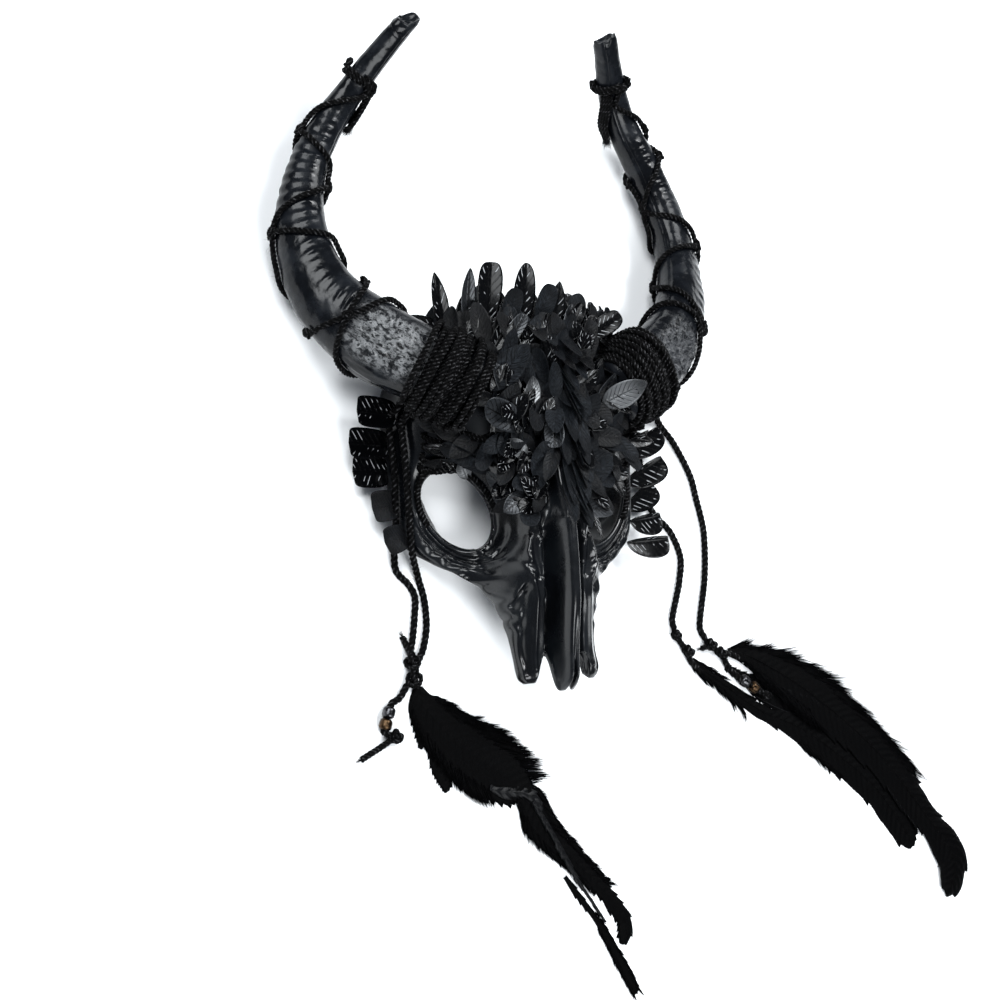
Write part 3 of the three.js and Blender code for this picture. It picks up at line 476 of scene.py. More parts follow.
# Finishes: colours are linear; relief is the strength and depth of the bump, in metres. Moulded
# ones have the scale of their dents and the share of fine pits, fibres their lines along and
# round a strand, and leaves the number of side veins, the cloth's scale and share of the relief,
# and what is lighter
finishes = {
    "skull": {"dark": (0.0018, 0.0021, 0.0028), "light": (0.0038, 0.0048, 0.0062),
              "rough": (0.2, 0.34), "relief": (0.35, 0.0006), "scale": 34.0, "pits": 0.05,
              "coat": 0.12, "coatRough": 0.07, "specular": 0.3},
    "horn": {"dark": (0.0018, 0.0022, 0.003), "light": (0.006, 0.0072, 0.0095),
             "rough": (0.17, 0.36), "relief": (0.55, 0.0009), "scale": 60.0, "pits": 0.35,
             "coat": 0.12, "coatRough": 0.1, "specular": 0.12},
    # The rope's light colour is painted highlight on the crowns of its strands
    "rope": {"dark": (0.0004, 0.0004, 0.0005), "light": (0.08, 0.08, 0.084), "rough": (0.55, 0.8),
             "relief": (0.8, 0.0004), "along": 0.5, "around": 26.0, "specular": 0.06},
    # The gloss leaf's light colour is painted highlight on dashes of its side veins
    "leafGloss": {"dark": (0.0009, 0.001, 0.0013), "light": (0.3, 0.31, 0.32),
                  "rough": (0.12, 0.24), "relief": (0.8, 0.0005), "veins": 7.0,
                  "cloth": (700.0, 0.1), "lightOn": "Dash", "coat": 0.05, "coatRough": 0.08,
                  "specular": 0.14},
    "leafSatin": {"dark": (0.02, 0.022, 0.025), "light": (0.002, 0.0021, 0.0025),
                  "rough": (0.22, 0.4), "relief": (0.8, -0.0005), "veins": 8.0,
                  "cloth": (900.0, 0.25), "lightOn": "Vein", "metallic": 0.55},
    "leafSilver": {"dark": (0.16, 0.165, 0.17), "light": (0.02, 0.021, 0.023),
                   "rough": (0.24, 0.42), "relief": (0.8, -0.0006), "veins": 9.0,
                   "cloth": (900.0, 0.3), "lightOn": "Fade", "metallic": 0.6},
    "leafMatte": {"dark": (0.0018, 0.0023, 0.0031), "light": (0.013, 0.0155, 0.019),
                  "rough": (0.45, 0.7), "relief": (0.8, -0.0005), "veins": 9.0,
                  "cloth": (1500.0, 0.9), "lightOn": "Streak", "specular": 0.1},
    "leafDim": {"dark": (0.0006, 0.0007, 0.001), "light": (0.0045, 0.0055, 0.0072),
                "rough": (0.4, 0.6), "relief": (0.8, -0.0005), "veins": 9.0,
                "cloth": (1500.0, 0.9), "lightOn": "Streak", "specular": 0.15},
    # The light colours of feather and quill are painted highlight on the same strand mask
    "feather": {"dark": (0.0002, 0.0002, 0.0003), "light": (0.0007, 0.0008, 0.0013),
                "rough": (0.45, 0.7), "relief": (0.7, 0.0003), "along": 3.0, "around": 1.5,
                "specular": 0.03},
    "quill": {"dark": (0.001, 0.0011, 0.0015), "light": (0.006, 0.0064, 0.008), "rough": (0.3, 0.5),
              "relief": (0.1, 0.0001), "along": 0.3, "around": 8.0, "specular": 0.1},
    "steel": {"dark": (0.02, 0.02, 0.022), "light": (0.08, 0.08, 0.085), "rough": (0.16, 0.36),
              "relief": (0.3, 0.0004), "scale": 300.0, "pits": 0.4, "metallic": 1.0},
    "bronze": {"dark": (0.02, 0.012, 0.007), "light": (0.075, 0.046, 0.025), "rough": (0.2, 0.4),
               "relief": (0.4, 0.0004), "scale": 300.0, "pits": 0.4, "metallic": 1.0},
}
# The bark patch of each horn: the light colour of the painted glints on its facets, and its share of the
# relief
barks = {"left": {"light": (0.19, 0.195, 0.2), "height": 2.2},
         "right": {"light": (0.06, 0.062, 0.066), "height": 1.6}}


def mouldedFinish(key, bark=None):
    # Moulded finish; a patch of bark adds relief and painted glints, a light colour on its facets.
    look = finishes[key]
    finish, tree, shader = newFinish(key, look)
    out = useGroup(tree, mouldedGroup, Vector=coordinates(tree, "Object"), Scale=look["scale"],
                   Pits=look["pits"])
    height = out["Height"]
    colour = tint(tree, shader, out["Smear"], look["dark"], look["light"])
    if bark:
        patch = useGroup(tree, barkGroup, Vector=coordinates(tree, "UV"))
        height = calc(tree, "MULTIPLY_ADD", patch["Height"], bark["height"], height)
        # The bark's painted glints are laid over the moulded colour
        over = tint(tree, shader, patch["Light"], (0, 0, 0), bark["light"])
        tree.links.new(colour.outputs[2], over.inputs[6])
    roughBetween(tree, shader, out["Smear"], *look["rough"])
    relief(tree, shader, height, *look["relief"])
    return finish


def fibreFinish(key):
    look = finishes[key]
    finish, tree, shader = newFinish(key, look)
    out = useGroup(tree, fibreGroup, Vector=coordinates(tree, "UV"), Along=look["along"],
                   Round=look["around"])
    # Base colour: painted highlight flecks along the strand crowns
    tint(tree, shader, out["Fleck"], look["dark"], look["light"])
    roughBetween(tree, shader, out["Height"], *look["rough"])
    relief(tree, shader, out["Height"], *look["relief"])
    return finish


def leafFinish(key):
    look = finishes[key]
    finish, tree, shader = newFinish(key, look)
    veins = useGroup(tree, veinGroup, Vector=coordinates(tree, "UV"), Count=look["veins"])
    scale, share = look["cloth"]
    cloth = noise(tree, stretched(tree, coordinates(tree, "Object"), (1.0, 0.35, 1.0)), scale, 2.0)
    # Lighter where lightOn says: painted highlight on the vein dashes of gloss leaves; on the other leaves
    # along their veins, streaks or ends
    tint(tree, shader, veins[look["lightOn"]], look["dark"], look["light"])
    roughBetween(tree, shader, cloth, *look["rough"])
    relief(tree, shader, calc(tree, "MULTIPLY_ADD", cloth, share, veins["Vein"]), *look["relief"])
    return finish


skullFinish = mouldedFinish("skull")
hornFinish = {side: mouldedFinish("horn", bark) for side, bark in barks.items()}
ropeFinish = fibreFinish("rope")
glossLeaf, satinLeaf, silverLeaf, matteLeaf, dimLeaf = [
    leafFinish("leaf" + kind) for kind in ("Gloss", "Satin", "Silver", "Matte", "Dim")]
featherFinish, quillFinish = fibreFinish("feather"), fibreFinish("quill")
steelFinish, bronzeFinish = mouldedFinish("steel"), mouldedFinish("bronze")
print("finishes made:", len(bpy.data.materials))

# Camera at the photograph's angle: its place, and its upward and backward directions
cameraView = {"place": (-0.4852, -0.2119, 0.869), "up": (0.026, 0.9868, 0.1601),
              "back": (-0.4783, -0.1284, 0.8688), "lens": 57.6}


def aimed(thing, place, up, back):
    # Puts a camera or a light in place, with its upward and backward directions.
    right = unit(np.cross(up, back))
    turn = np.eye(4)
    turn[:3] = np.stack([right, np.cross(back, right), back, place], 1)
    thing.matrix_world = Matrix(turn.tolist())
    scene.collection.objects.link(thing)


cameraData = bpy.data.cameras.new("photoCamera")
cameraData.lens = cameraView["lens"]
cameraData.sensor_width = 36
camera = bpy.data.objects.new("photoCamera", cameraData)
aimed(camera, cameraView["place"], cameraView["up"], unit(np.array(cameraView["back"])))
scene.camera = camera

# Horns: centre line of the right-hand one, and half axes of its section against length
horn = {
    "line": [(46, 58.5, 58), (72, 73.5, 51.5), (103, 94, 40), (127, 126, 27),
             (133, 170.5, 19.2), (119.5, 215, 18.6), (93.5, 255, 29.5), (66, 290.5, 65)],
    "section": [(0, 21, 18.5), (27, 22, 18.5), (65, 23.5, 18.5), (106, 20.5, 16.5),
                (150, 15.8, 13.4), (190, 11.4, 12.4), (244, 7.8, 10.2), (280, 6.2, 8.8),
                (296, 5.6, 8)],
    "inside": (20, 190, 30), "axisTilt": 40, "triangle": 0.05,
    "ribSpacing": 6.6, "ribHeight": 1.3, "ribWidth": 0.2, "ribCurve": 3.3, "softRibHeight": 0.5,
    "barkHeight": 1.2, "streakHeight": 0.5, "mostRelief": 1.6,
    # Where forms start, are full, start to fade and are gone: along the horn in mm, and round it
    # in degrees, with 0 on the inner side and 90 up
    "bark": ((26, 38, 74, 90), (52, 78, 142, 172)), "softRibs": (95, 125, 200, 230),
    "streaks": ((30, 42, 68, 84), (140, 158, 190, 215)),
    # Broken tip: how far back it is pulled, and rings of its hollow as (share of radius, depth)
    "pull": 24, "hollow": [(0.86, -0.25), (0.6, 1.2), (0.3, 1.6)], "hollowDepth": 1.8,
    # Edges of the smooth inner band: angle, depth, and where along the horn they start
    "bandEdges": [(34, 0.5, (80, 110)), (-45, 0.35, (46, 60))],
}
hornLine = smoothPath(horn["line"], 0.5)
hornRun = alongLine(hornLine)
hornTangent = unit(np.gradient(hornLine, axis=0))
hornLength = hornRun[-1]


def hornFrame(length):
    # Centre of the horn at a length, and its inward and upward directions.
    centre, tangent = [np.stack([np.interp(length, hornRun, table[:, k]) for k in range(3)], -1)
                       for table in (hornLine, hornTangent)]
    tangent = unit(tangent)
    inner = squareTo(np.array(horn["inside"]) - centre, tangent)
    return centre, inner, np.cross(tangent, inner)


def hornPoint(length, angle, out, shrink=1.0):
    # Point round the horn: radius = ellipse(angle) (1 + triangle cos 3 angle) + out.
    length, angle, out = np.broadcast_arrays(np.asarray(length, float), angle, out)
    centre, inner, up = hornFrame(length)
    major, minor = alongTable(horn["section"], length)
    a = (angle - horn["axisTilt"]) * degree
    radius = shrink * (1 + horn["triangle"] * np.cos(3 * a)) / np.hypot(
        np.cos(a) / major, np.sin(a) / minor) + out
    return (centre + inner * (radius * np.cos(angle * degree))[..., None]
            + up * (radius * np.sin(angle * degree))[..., None])


# Radius of a strand against the rope's; hairs: place, bend and width of their middle ring
ropeShape = {"strand": 0.53}
hairShape = {"middle": 0.55, "bend": 0.3, "width": 0.35}
# Stray fibres: width, share of the radius they start at, lowest height and shortest share
fuzzShape = {"width": 0.16, "root": 0.7, "lowest": 0.3, "shortest": 0.3}


def twistedRope(path, radius, pitch, reference, finish=0, sides=7, strands=3):
    # Strands wind round the path: strand centre = path + h (cos a . A + sin a . B).
    tangent = unit(np.gradient(path, axis=0))
    reference = np.broadcast_to(np.asarray(reference, float), path.shape)
    outA = squareTo(reference, tangent)
    outB = np.cross(tangent, outA)
    run = alongLine(path)
    strand = radius * ropeShape["strand"]
    parts = []
    for k in range(strands):
        a = (2 * np.pi * (run / pitch + k / strands))[:, None]
        radial = np.cos(a) * outA + np.sin(a) * outB
        centres = path + radial * (radius - strand)
        parts.append(tube(centres, radial, unit(np.cross(unit(np.gradient(centres, axis=0)), radial)),
                          strand, sides, finish, run + 37.0 * k))
    return parts


def hairs(roots, directions, lengths, width, bend, finish=0):
    # Tapered three-sided hairs: root ring, middle ring and tip, which is bent sideways.
    roots, directions = np.asarray(roots, float), unit(np.asarray(directions, float))
    n = len(roots)
    lengths = np.broadcast_to(lengths, (n,))[:, None]
    across = unit(np.cross(directions, [0.13, 0.21, 1.0]))
    above = np.cross(directions, across)
    bend = np.broadcast_to(bend, (n,))[:, None]
    middle = roots + directions * lengths * hairShape["middle"] + across * bend * hairShape["bend"]
    tip = roots + directions * lengths + across * bend
    rings = [ringPoints(centre, size, across, above, 3)
             for centre, size in ((roots, width / 2), (middle, width * hairShape["width"]))]
    points = np.concatenate(rings + [tip[:, None]], 1)
    first = (np.arange(n) * 7)[:, None, None]
    walls = np.array([[0, 1, 4, 3], [1, 2, 5, 4], [2, 0, 3, 5]])[None] + first
    caps = np.array([[2, 1, 0], [3, 4, 6], [4, 5, 6], [5, 3, 6]])[None] + first
    return {"points": points.reshape(-1, 3), "faces": [walls.reshape(-1, 4), caps.reshape(-1, 3)],
            "uv": np.tile([[0.0, 0.0]], (7 * n, 1)), "finish": finish}


def fuzz(path, radius, count, length, seed, finish=0):
    # Stray fibres along a rope: they leave it sideways at repeatable places.
    n = np.arange(count) + seed
    at = path[(scatter(n) * (len(path) - 1)).astype(int)]
    around = unit(scatterAround(n, (0.17, 0.31, 0.53)))
    roots = at + around * radius * fuzzShape["root"]
    out = unit(around + 0.5 * unit(scatterAround(n, (0.61, 0.77, 0.83))))
    sizes = length * (fuzzShape["shortest"] + scatter(n + 0.9) ** 2)
    # Fibres that would end below the floor are turned up
    lowest = fuzzShape["lowest"]
    low = roots[:, 2] + out[:, 2] * sizes < lowest
    out[low, 2] = np.maximum(0.02, (lowest - roots[low, 2]) / sizes[low])
    return hairs(roots, out, sizes, fuzzShape["width"], sizes * (scatter(n + 0.4) - 0.5), finish)


# Tassel cords: where each leaves its rope coil (length and angle on the horn) and its route
cords = {
    "radius": 1.9, "round": 2.3, "into": 2.4, "pitch": 10.5, "coilReach": 5.2, "fibreLength": 5.0,
    "exits": {"left_outer": (40, 232), "left_inner": (33, 224), "right_outer": (39, 226),
              "right_inner": (32, 222)},
    "routes": {
        "left_outer": [(-86.5, 53, 19), (-86, 39, 16.5), (-84.6, 16, 14.5), (-84, -12, 8.5),
                       (-84, -28, 3), (-83, -38, 1.9), (-76, -46, 1.9), (-72.5, -54, 1.9),
                       (-74, -66, 1.9), (-76.5, -78, 2.1), (-79, -85.5, 3)],
        "left_inner": [(-82.5, 46, 27), (-81.8, 26, 25.5), (-80.8, 3, 22.5), (-79.6, -12, 19),
                       (-77.6, -25, 14), (-74, -34, 8.5), (-69, -44, 2.1), (-66.5, -56, 1.9),
                       (-66.5, -71, 1.9), (-70, -84, 2.4), (-73.8, -90.5, 3)],
        "right_outer": [(103, 63, 16), (112, 57, 7), (119, 50, 1.9), (128, 38, 1.9),
                        (138, 17, 1.9), (141, 1, 1.9), (144, -19, 1.9), (143, -37, 1.9),
                        (140, -55, 1.9), (134, -76, 1.9), (132, -86, 2.1), (134.5, -92.5, 2.8)],
        "right_inner": [(86, 48, 22), (91.5, 45, 11), (95, 38, 4.2), (99, 28, 1.9),
                        (101, 4, 1.9), (106, -9, 1.9), (117, -21, 1.9), (123, -38, 1.9),
                        (120, -54, 1.9), (116, -65, 1.9), (111, -78, 2.1), (111, -84, 2.6)],
        "left_beads": [(-83.5, -106, 2.6), (-89, -113, 2.4), (-95.6, -116.6, 3.9),
                       (-101.2, -130.6, 3.9), (-98.9, -133, 3.9)],
        "right_beads": [(148.6, -108.2, 2.6), (151, -113.4, 2.6), (156, -119.2, 3.9),
                        (174.6, -131.4, 3.9)],
    },
}


def cordPath(name):
    # Route of a cord, led straight out of its coil where it has one.
    route = cords["routes"][name]
    if name in cords["exits"]:
        side = -1 if name.startswith("left") else 1
        start = [hornPoint(*cords["exits"][name], cords["coilReach"] + out) * [side, 1, 1]
                 for out in (0, 4)]
        route = [tuple(p) for p in start] + route
    return smoothPath(route, 0.8)


cordPaths = {name: cordPath(name) for name in cords["routes"]}
for count, (name, path) in enumerate(cordPaths.items()):
    reference = (0, 0, 1) if name.endswith("beads") else (1, 0.15, 0.1)
    # The rope runs a little into the knots at its ends
    ends = unit(path[[0, -1]] - path[[1, -2]]) * cords["into"]
    shown = np.concatenate([(path[:1] + ends[0]) if name.endswith("beads") else path[:0], path,
                            path[-1:] + ends[1]])
    parts = twistedRope(shown, cords["round"], cords["pitch"], reference)
    makePiece("tassel_fibres_" + name, [
        fuzz(path, cords["radius"], int(len(path) * 0.9), cords["fibreLength"], 400.0 * count)],
        [ropeFinish])
    makePiece("tassel_cord_" + name, parts, [ropeFinish], ["cord_" + name])

# Knots: lumps of (x, y, z, half length, half width, heading), and the tails that leave them
knots = {
    "radius": 1.6, "tailRadius": 2.1, "pitch": 7.0, "tailPitch": 8.0, "brush": 26,
    "lumps": {
        "knot_left": [(-79, -92, 4, 6.6, 5, 90), (-78.5, -102, 3.6, 7.8, 5, 78)],
        "knot_left_tail": [(-94, -135, 3.8, 5, 4.4, -40)],
        "knot_right_outer": [(138, -97, 3.6, 5, 4, -40), (146, -103, 3.4, 5.5, 3.6, -40)],
        "knot_right_inner": [(112, -89, 3.2, 4, 3.4, -60), (119.5, -100, 3.6, 5, 3.8, -50)],
        "knot_right_tail": [(178.4, -133.9, 3.4, 3.6, 3.2, -40)],
    },
    "tails": {
        "knot_left": [(-79, -90, 3.6), (-81, -83, 2.4), (-83, -77, 2)],
        "knot_left_tail": [(-94, -135, 3), (-103, -140, 2), (-116, -146, 2)],
        "knot_right_outer": [(138, -97, 3), (134, -98.4, 2.4), (131, -99, 2)],
        "knot_right_inner": [(112, -89, 2.6), (115, -94, 2.6), (119.5, -100, 2.6),
                             (121.5, -107, 2.4), (126, -111, 2.2)],
    },
    # Rope that joins the lumps of a knot and runs on under its feather
    "links": {"knot_right_outer": [(138, -97, 3.2), (146, -103, 3.2), (153, -104, 2.8),
                                   (160, -107, 2.4)]},
}


def overhand(count):
    # Along, across and height of an overhand knot: a line wound three times round a ring of
    # radius 2 while it goes round twice.
    t = np.linspace(0, 2 * np.pi, count)
    return (2 + np.cos(3 * t)) * np.cos(2 * t), (2 + np.cos(3 * t)) * np.sin(2 * t), np.sin(3 * t)


def knotPath(x, y, z, halfLength, halfWidth, heading, radius):
    # Overhand knot of a given size, headed along the floor.
    along, wide, high = overhand(97)
    along = along / 3 * (halfLength - radius)
    wide = wide / 3 * (halfWidth - radius * 0.6)
    c, s = np.cos(heading * degree), np.sin(heading * degree)
    return np.stack([x + along * c - wide * s, y + along * s + wide * c,
                     z + high * (min(halfWidth, z) - radius)], 1)


def tailRope(path):
    return twistedRope(path, knots["tailRadius"], knots["tailPitch"], (0, 0, 1))


for count, (name, lumps) in enumerate(knots["lumps"].items()):
    parts = []
    paths = [knotPath(*lump, knots["radius"]) for lump in lumps]
    for path in paths:
        parts += twistedRope(path, knots["radius"], knots["pitch"], (0.3, 0.2, 1), sides=6)
    if name in knots["tails"]:
        tail = smoothPath(knots["tails"][name], 0.6)
        parts += tailRope(tail)
        n = np.arange(knots["brush"])
        brush = unit((tail[-1] - tail[-6])[None]) + 0.7 * scatterAround(n, (0.1, 0.5, 0.8))
        brush[:, 2] = np.maximum(brush[:, 2], -0.1)
        parts.append(hairs(np.repeat(tail[-2:-1], len(n), 0), brush, 3 + 4 * scatter(n), 0.25, 0.6))
    if name in knots["links"]:
        parts += tailRope(smoothPath(knots["links"][name], 0.6))
    parts.append(fuzz(np.concatenate(paths), 2.0, 40, 5.0, 90.0 * count + 7))
    makePiece(name + "_tied", parts, [ropeFinish], [name])

# Beads: short barrels on the cords, centre and direction of the hole
beads = {
    "radius": 3.9, "hole": 2.15, "halfLength": 3.3, "belly": 0.3, "lip": 0.5,
    "places": {
        "bead_left_steel": ((-97.2, -120.6, 3.9), (-0.374, -0.927, 0)),
        "bead_left_bronze": ((-99.9, -127.3, 3.9), (-0.374, -0.927, 0)),
        "bead_right_steel": ((161.5, -122.8, 3.9), (0.836, -0.548, 0)),
        "bead_right_bronze": ((168.6, -127.5, 3.9), (0.836, -0.548, 0)),
    },
}


def beadPart(centre, axis):
    # Barrel: radius = r (1 - 0.3 k^4) outside against k along the hole, closed through the hole.
    k = np.concatenate([np.linspace(-1, 1, 25), np.linspace(1, -1, 9)])
    radius = beads["radius"] * (1 - beads["belly"] * np.abs(k) ** 4)
    radius[25:] = beads["hole"]
    radius[[0, 24]] = beads["hole"] + beads["lip"]
    axis = unit(np.array(axis, float))
    side = np.cross(axis, [0, 0, 1])
    centres = centre + (k * beads["halfLength"])[:, None] * axis
    across, above = [np.broadcast_to(v, centres.shape) for v in (side, np.cross(side, axis))]
    return closedRings(ringPoints(centres, radius[:, None, None], across, above, 40))


for name, (centre, axis) in beads["places"].items():
    steel = name.endswith("steel")
    makePiece(name + "_turned", [beadPart(np.array(centre), axis)],
                                   [steelFinish if steel else bronzeFinish],
                                   [name])

# Feathers on the floor. Vanes: stations of (x, y, width), base height of the left and right
# edge, height above it, radius of the shaft and length of the teeth. Tufts: side of the shaft,
# from and to share of the length, hair length, slant to the tip. Rachis: bare shaft beside the
# vane. Streaks: light barbs from (x, y) to (x, y), their number, length and heading
feathers = {
    "feather_left_body": {"vanes": [
        {"low": (0.2, 0.2), "high": 2.9, "tooth": 6.0, "stations": [
            (-76, -107.5, 9), (-73.5, -118, 24), (-63, -132, 35), (-49, -145.5, 45), (-32.5, -158.5, 45),
            (-17.5, -169.5, 34), (-7, -176.5, 22)]},
        {"low": (0.3, 0.3), "high": 1.2, "tooth": 4.0, "stations": [
            (-77, -111, 5), (-77.5, -124, 12), (-76.5, -135, 10), (-77, -144, 4)]},
        {"low": (0.3, 0.3), "high": 1.2, "tooth": 4.0, "stations": [
            (-70, -140, 10), (-66, -153, 15), (-63, -165, 12), (-64, -171, 4)]},
        {"low": (2.0, 2.0), "high": 1.2, "tooth": 9.0, "finish": 1, "stations": [
            (-35, -171, 5), (-25, -175, 8), (-15, -175.5, 9), (-6, -180, 9), (-1, -189, 5)]}],
        "tufts": [(1, 0.12, 0.99, 10, 1.9), (-1, 0.1, 0.75, 3.5, 1.2)]},
    "feather_left_strip": {"vanes": [
        {"low": (0.2, 0.2), "high": 1.9, "tooth": 7.0, "stations": [
            (-15, -172, 14), (-7, -183, 22), (-3.5, -193, 23), (3, -204, 19), (12, -213.5, 17),
            (21.5, -223.5, 15), (33, -236.5, 14), (42, -247.5, 14), (50, -260, 14), (50.5, -268, 14),
            (47, -276, 11)]}],
        "tufts": [(1, 0.02, 0.7, 6.5, 2.4), (-1, 0.05, 0.6, 5, 2.2)]},
    "feather_left_quill": {"vanes": [
        {"low": (2.6, 2.6), "high": 1.2, "tooth": 50.0, "finish": 1, "stations": [
            (-6.9, -182.6, 3.4), (-1, -193, 5), (7, -209, 5), (19, -233, 4), (36, -261, 1.6)]}]},
    "feather_left_thin": {"vanes": [
        {"low": (0.2, 0.2), "high": 1.8, "tooth": 12.0, "stations": [
            (11.5, -230, 4), (22, -246, 6), (33, -263, 5.5), (42, -281, 7), (51, -300, 7),
            (54, -307, 4)]}],
        "tufts": [(1, 0.35, 0.98, 3.5, 4.0), (-1, 0.45, 0.99, 5, 4.0)]},
    "feather_right_upper": {"vanes": [
        {"low": (0.2, 2.3), "high": 2.3, "shaft": 0.5, "tooth": 24.0, "stations": [
            (152, -103, 8), (166, -106, 16), (184, -115, 27), (211, -132, 37), (244, -158, 35),
            (271, -184, 33), (293, -212, 31), (306, -231, 26), (317, -246, 31), (324, -260, 32),
            (321, -274, 26), (314, -284, 13)]},
        {"low": (0.1, 0.1), "high": 0.25, "tooth": 5.0, "stations": [
            (150, -112, 6), (164, -121, 12), (182, -131, 22), (204, -143, 22), (228, -157, 14)]}],
        "tufts": [(1, 0.01, 0.3, 30, 2.6), (1, 0.3, 0.62, 7, 4.0), (-1, 0.05, 0.3, 8, 2.2)],
        "rachis": [(171, -133), (184, -140.5), (196, -146), (207, -149.5), (224, -156)],
        "streaks": [(172, -121, 197, -131, 16, 11, -35), (205, -133, 219, -139, 9, 12, -55),
                    (272, -204, 293, -233, 8, 11, -62), (224, -127, 228, -130, 5, 6, 20)]},
    "feather_right_lower": {"vanes": [
        {"low": (0.2, 0.2), "high": 1.7, "shaft": 0.4, "tooth": 30.0, "stations": [
            (123, -106, 5), (131, -113, 8), (146, -123.5, 10), (163, -136.6, 12.5), (180, -146.5, 14),
            (207, -159, 24), (236, -180, 29), (262.5, -203.5, 28), (281, -230, 24), (291, -247, 20)]}],
        "tufts": [(-1, 0.0, 0.22, 14, 2.5), (1, 0.0, 0.12, 9, 3.0), (-1, 0.45, 0.56, 7, 3.0)]},
}


# Barbs of a vane: their slant to the tip against the half width, the lengths of a clump, of a
# barb and of the broad wave, and the heights that they give the surface
vaneShape = {"step": 0.7, "columns": 41, "slant": 0.9, "clump": 11.0, "barb": 1.9, "wave": 6.1,
             "barbHeight": 0.22, "clumpHeight": 0.35, "waveHeight": 0.25, "roundTip": 12}


def vanePart(data, seed):
    # Vane: across s from -1 to 1, height = low + high (1 - s^2), combed into barbs that slant to
    # the tip. Each margin is a row of teeth that grow towards the tip, then step back.
    stations = np.array(data["stations"], float)
    line = np.column_stack([stations[:, :2], stations[:, 2] * 0])
    line = smoothPath(line, vaneShape["step"])[:, :2]
    share = np.linspace(0, 1, len(line))
    stationRun = alongLine(stations[:, :2])
    run = share * stationRun[-1]
    half = alongTable(np.column_stack([stationRun / run[-1], stations[:, 2]]), share)[0] / 2
    tipReach = min(half[-1] * 1.1, vaneShape["roundTip"])
    tipShare = ((run - run[-1] + tipReach) / tipReach).clip(0, 1)
    half = half * np.sqrt(np.clip(1 - tipShare**2, 0.02, 1))
    ahead = unit(np.gradient(line, axis=0))
    left = np.stack([-ahead[:, 1], ahead[:, 0]], 1)
    s = np.sin(np.linspace(-1, 1, vaneShape["columns"]) * np.pi / 2)
    comb = run[:, None] - vaneShape["slant"] * half[:, None] * np.abs(s)[None]
    sideOf = np.sign(s)[None] + comb * 0
    wide = bumps(np.stack([comb / vaneShape["clump"], sideOf, comb * 0], -1), 1.0, seed + 9)
    tooth = comb / data["tooth"] + 0.7 * wide + 0.5 * sideOf
    tooth = (tooth - np.floor(tooth)) ** 1.6
    fine = comb / 1.7 + 0.5 * sideOf
    fine = fine - np.floor(fine)
    cut = np.minimum(1.6 + 0.10 * half, 0.5 * half)[:, None] * np.abs(s)[None] ** 3
    reach = half[:, None] * s[None] - sideOf * cut * (1 - 0.85 * tooth - 0.15 * fine + 0.3 * wide)
    xy = (line[:, None] + left[:, None] * reach[..., None]
          + ahead[:, None] * (cut * 0.6 * tooth)[..., None])
    base = (data["low"][0] * (1 + s) + data["low"][1] * (1 - s)) / 2
    hill = data["high"] * (1 - s**2) ** 0.8
    wave = (vaneShape["barbHeight"] * np.sin(comb * 2 * np.pi / vaneShape["barb"])
            + vaneShape["clumpHeight"] * wide
            + vaneShape["waveHeight"] * np.sin(comb * 2 * np.pi / vaneShape["wave"] + seed)
            ) * (0.35 + 0.65 * (1 - s**2))[None]
    top = np.minimum(base + 0.45 + hill * 0.84 + wave, base + 0.3 + np.maximum(hill, 0.4))
    top = np.maximum(top, base + 0.25)
    lower = np.dstack([xy, np.maximum(0.05, np.minimum(top - 0.15, base - 0.05 + hill * 0.55))])
    parts = [skin(np.dstack([xy, top]), lower, (comb, np.broadcast_to(s * 6, top.shape)),
                  data.get("finish", 0))]
    if "shaft" in data:
        crest = np.column_stack([line, top[:, 20] + 0.02])
        parts.append(tube(crest, np.broadcast_to([0, 0, 1.0], crest.shape),
                          np.column_stack([left, 0 * share]), data["shaft"] * (1 - 0.7 * share), 6, 0))
    return parts, line, left, ahead, half, base


# Tufts: how far apart and of how many barbs, the reach of their roots (from and spread, as shares
# of the half width) and the width of a barb; streaks have finer ones
tuftShape = {"spacing": 2.3, "barbs": 11, "root": (0.5, 0.36), "width": 0.8, "streakWidth": 0.45,
             "streakBend": 1.5, "rachis": 0.35}


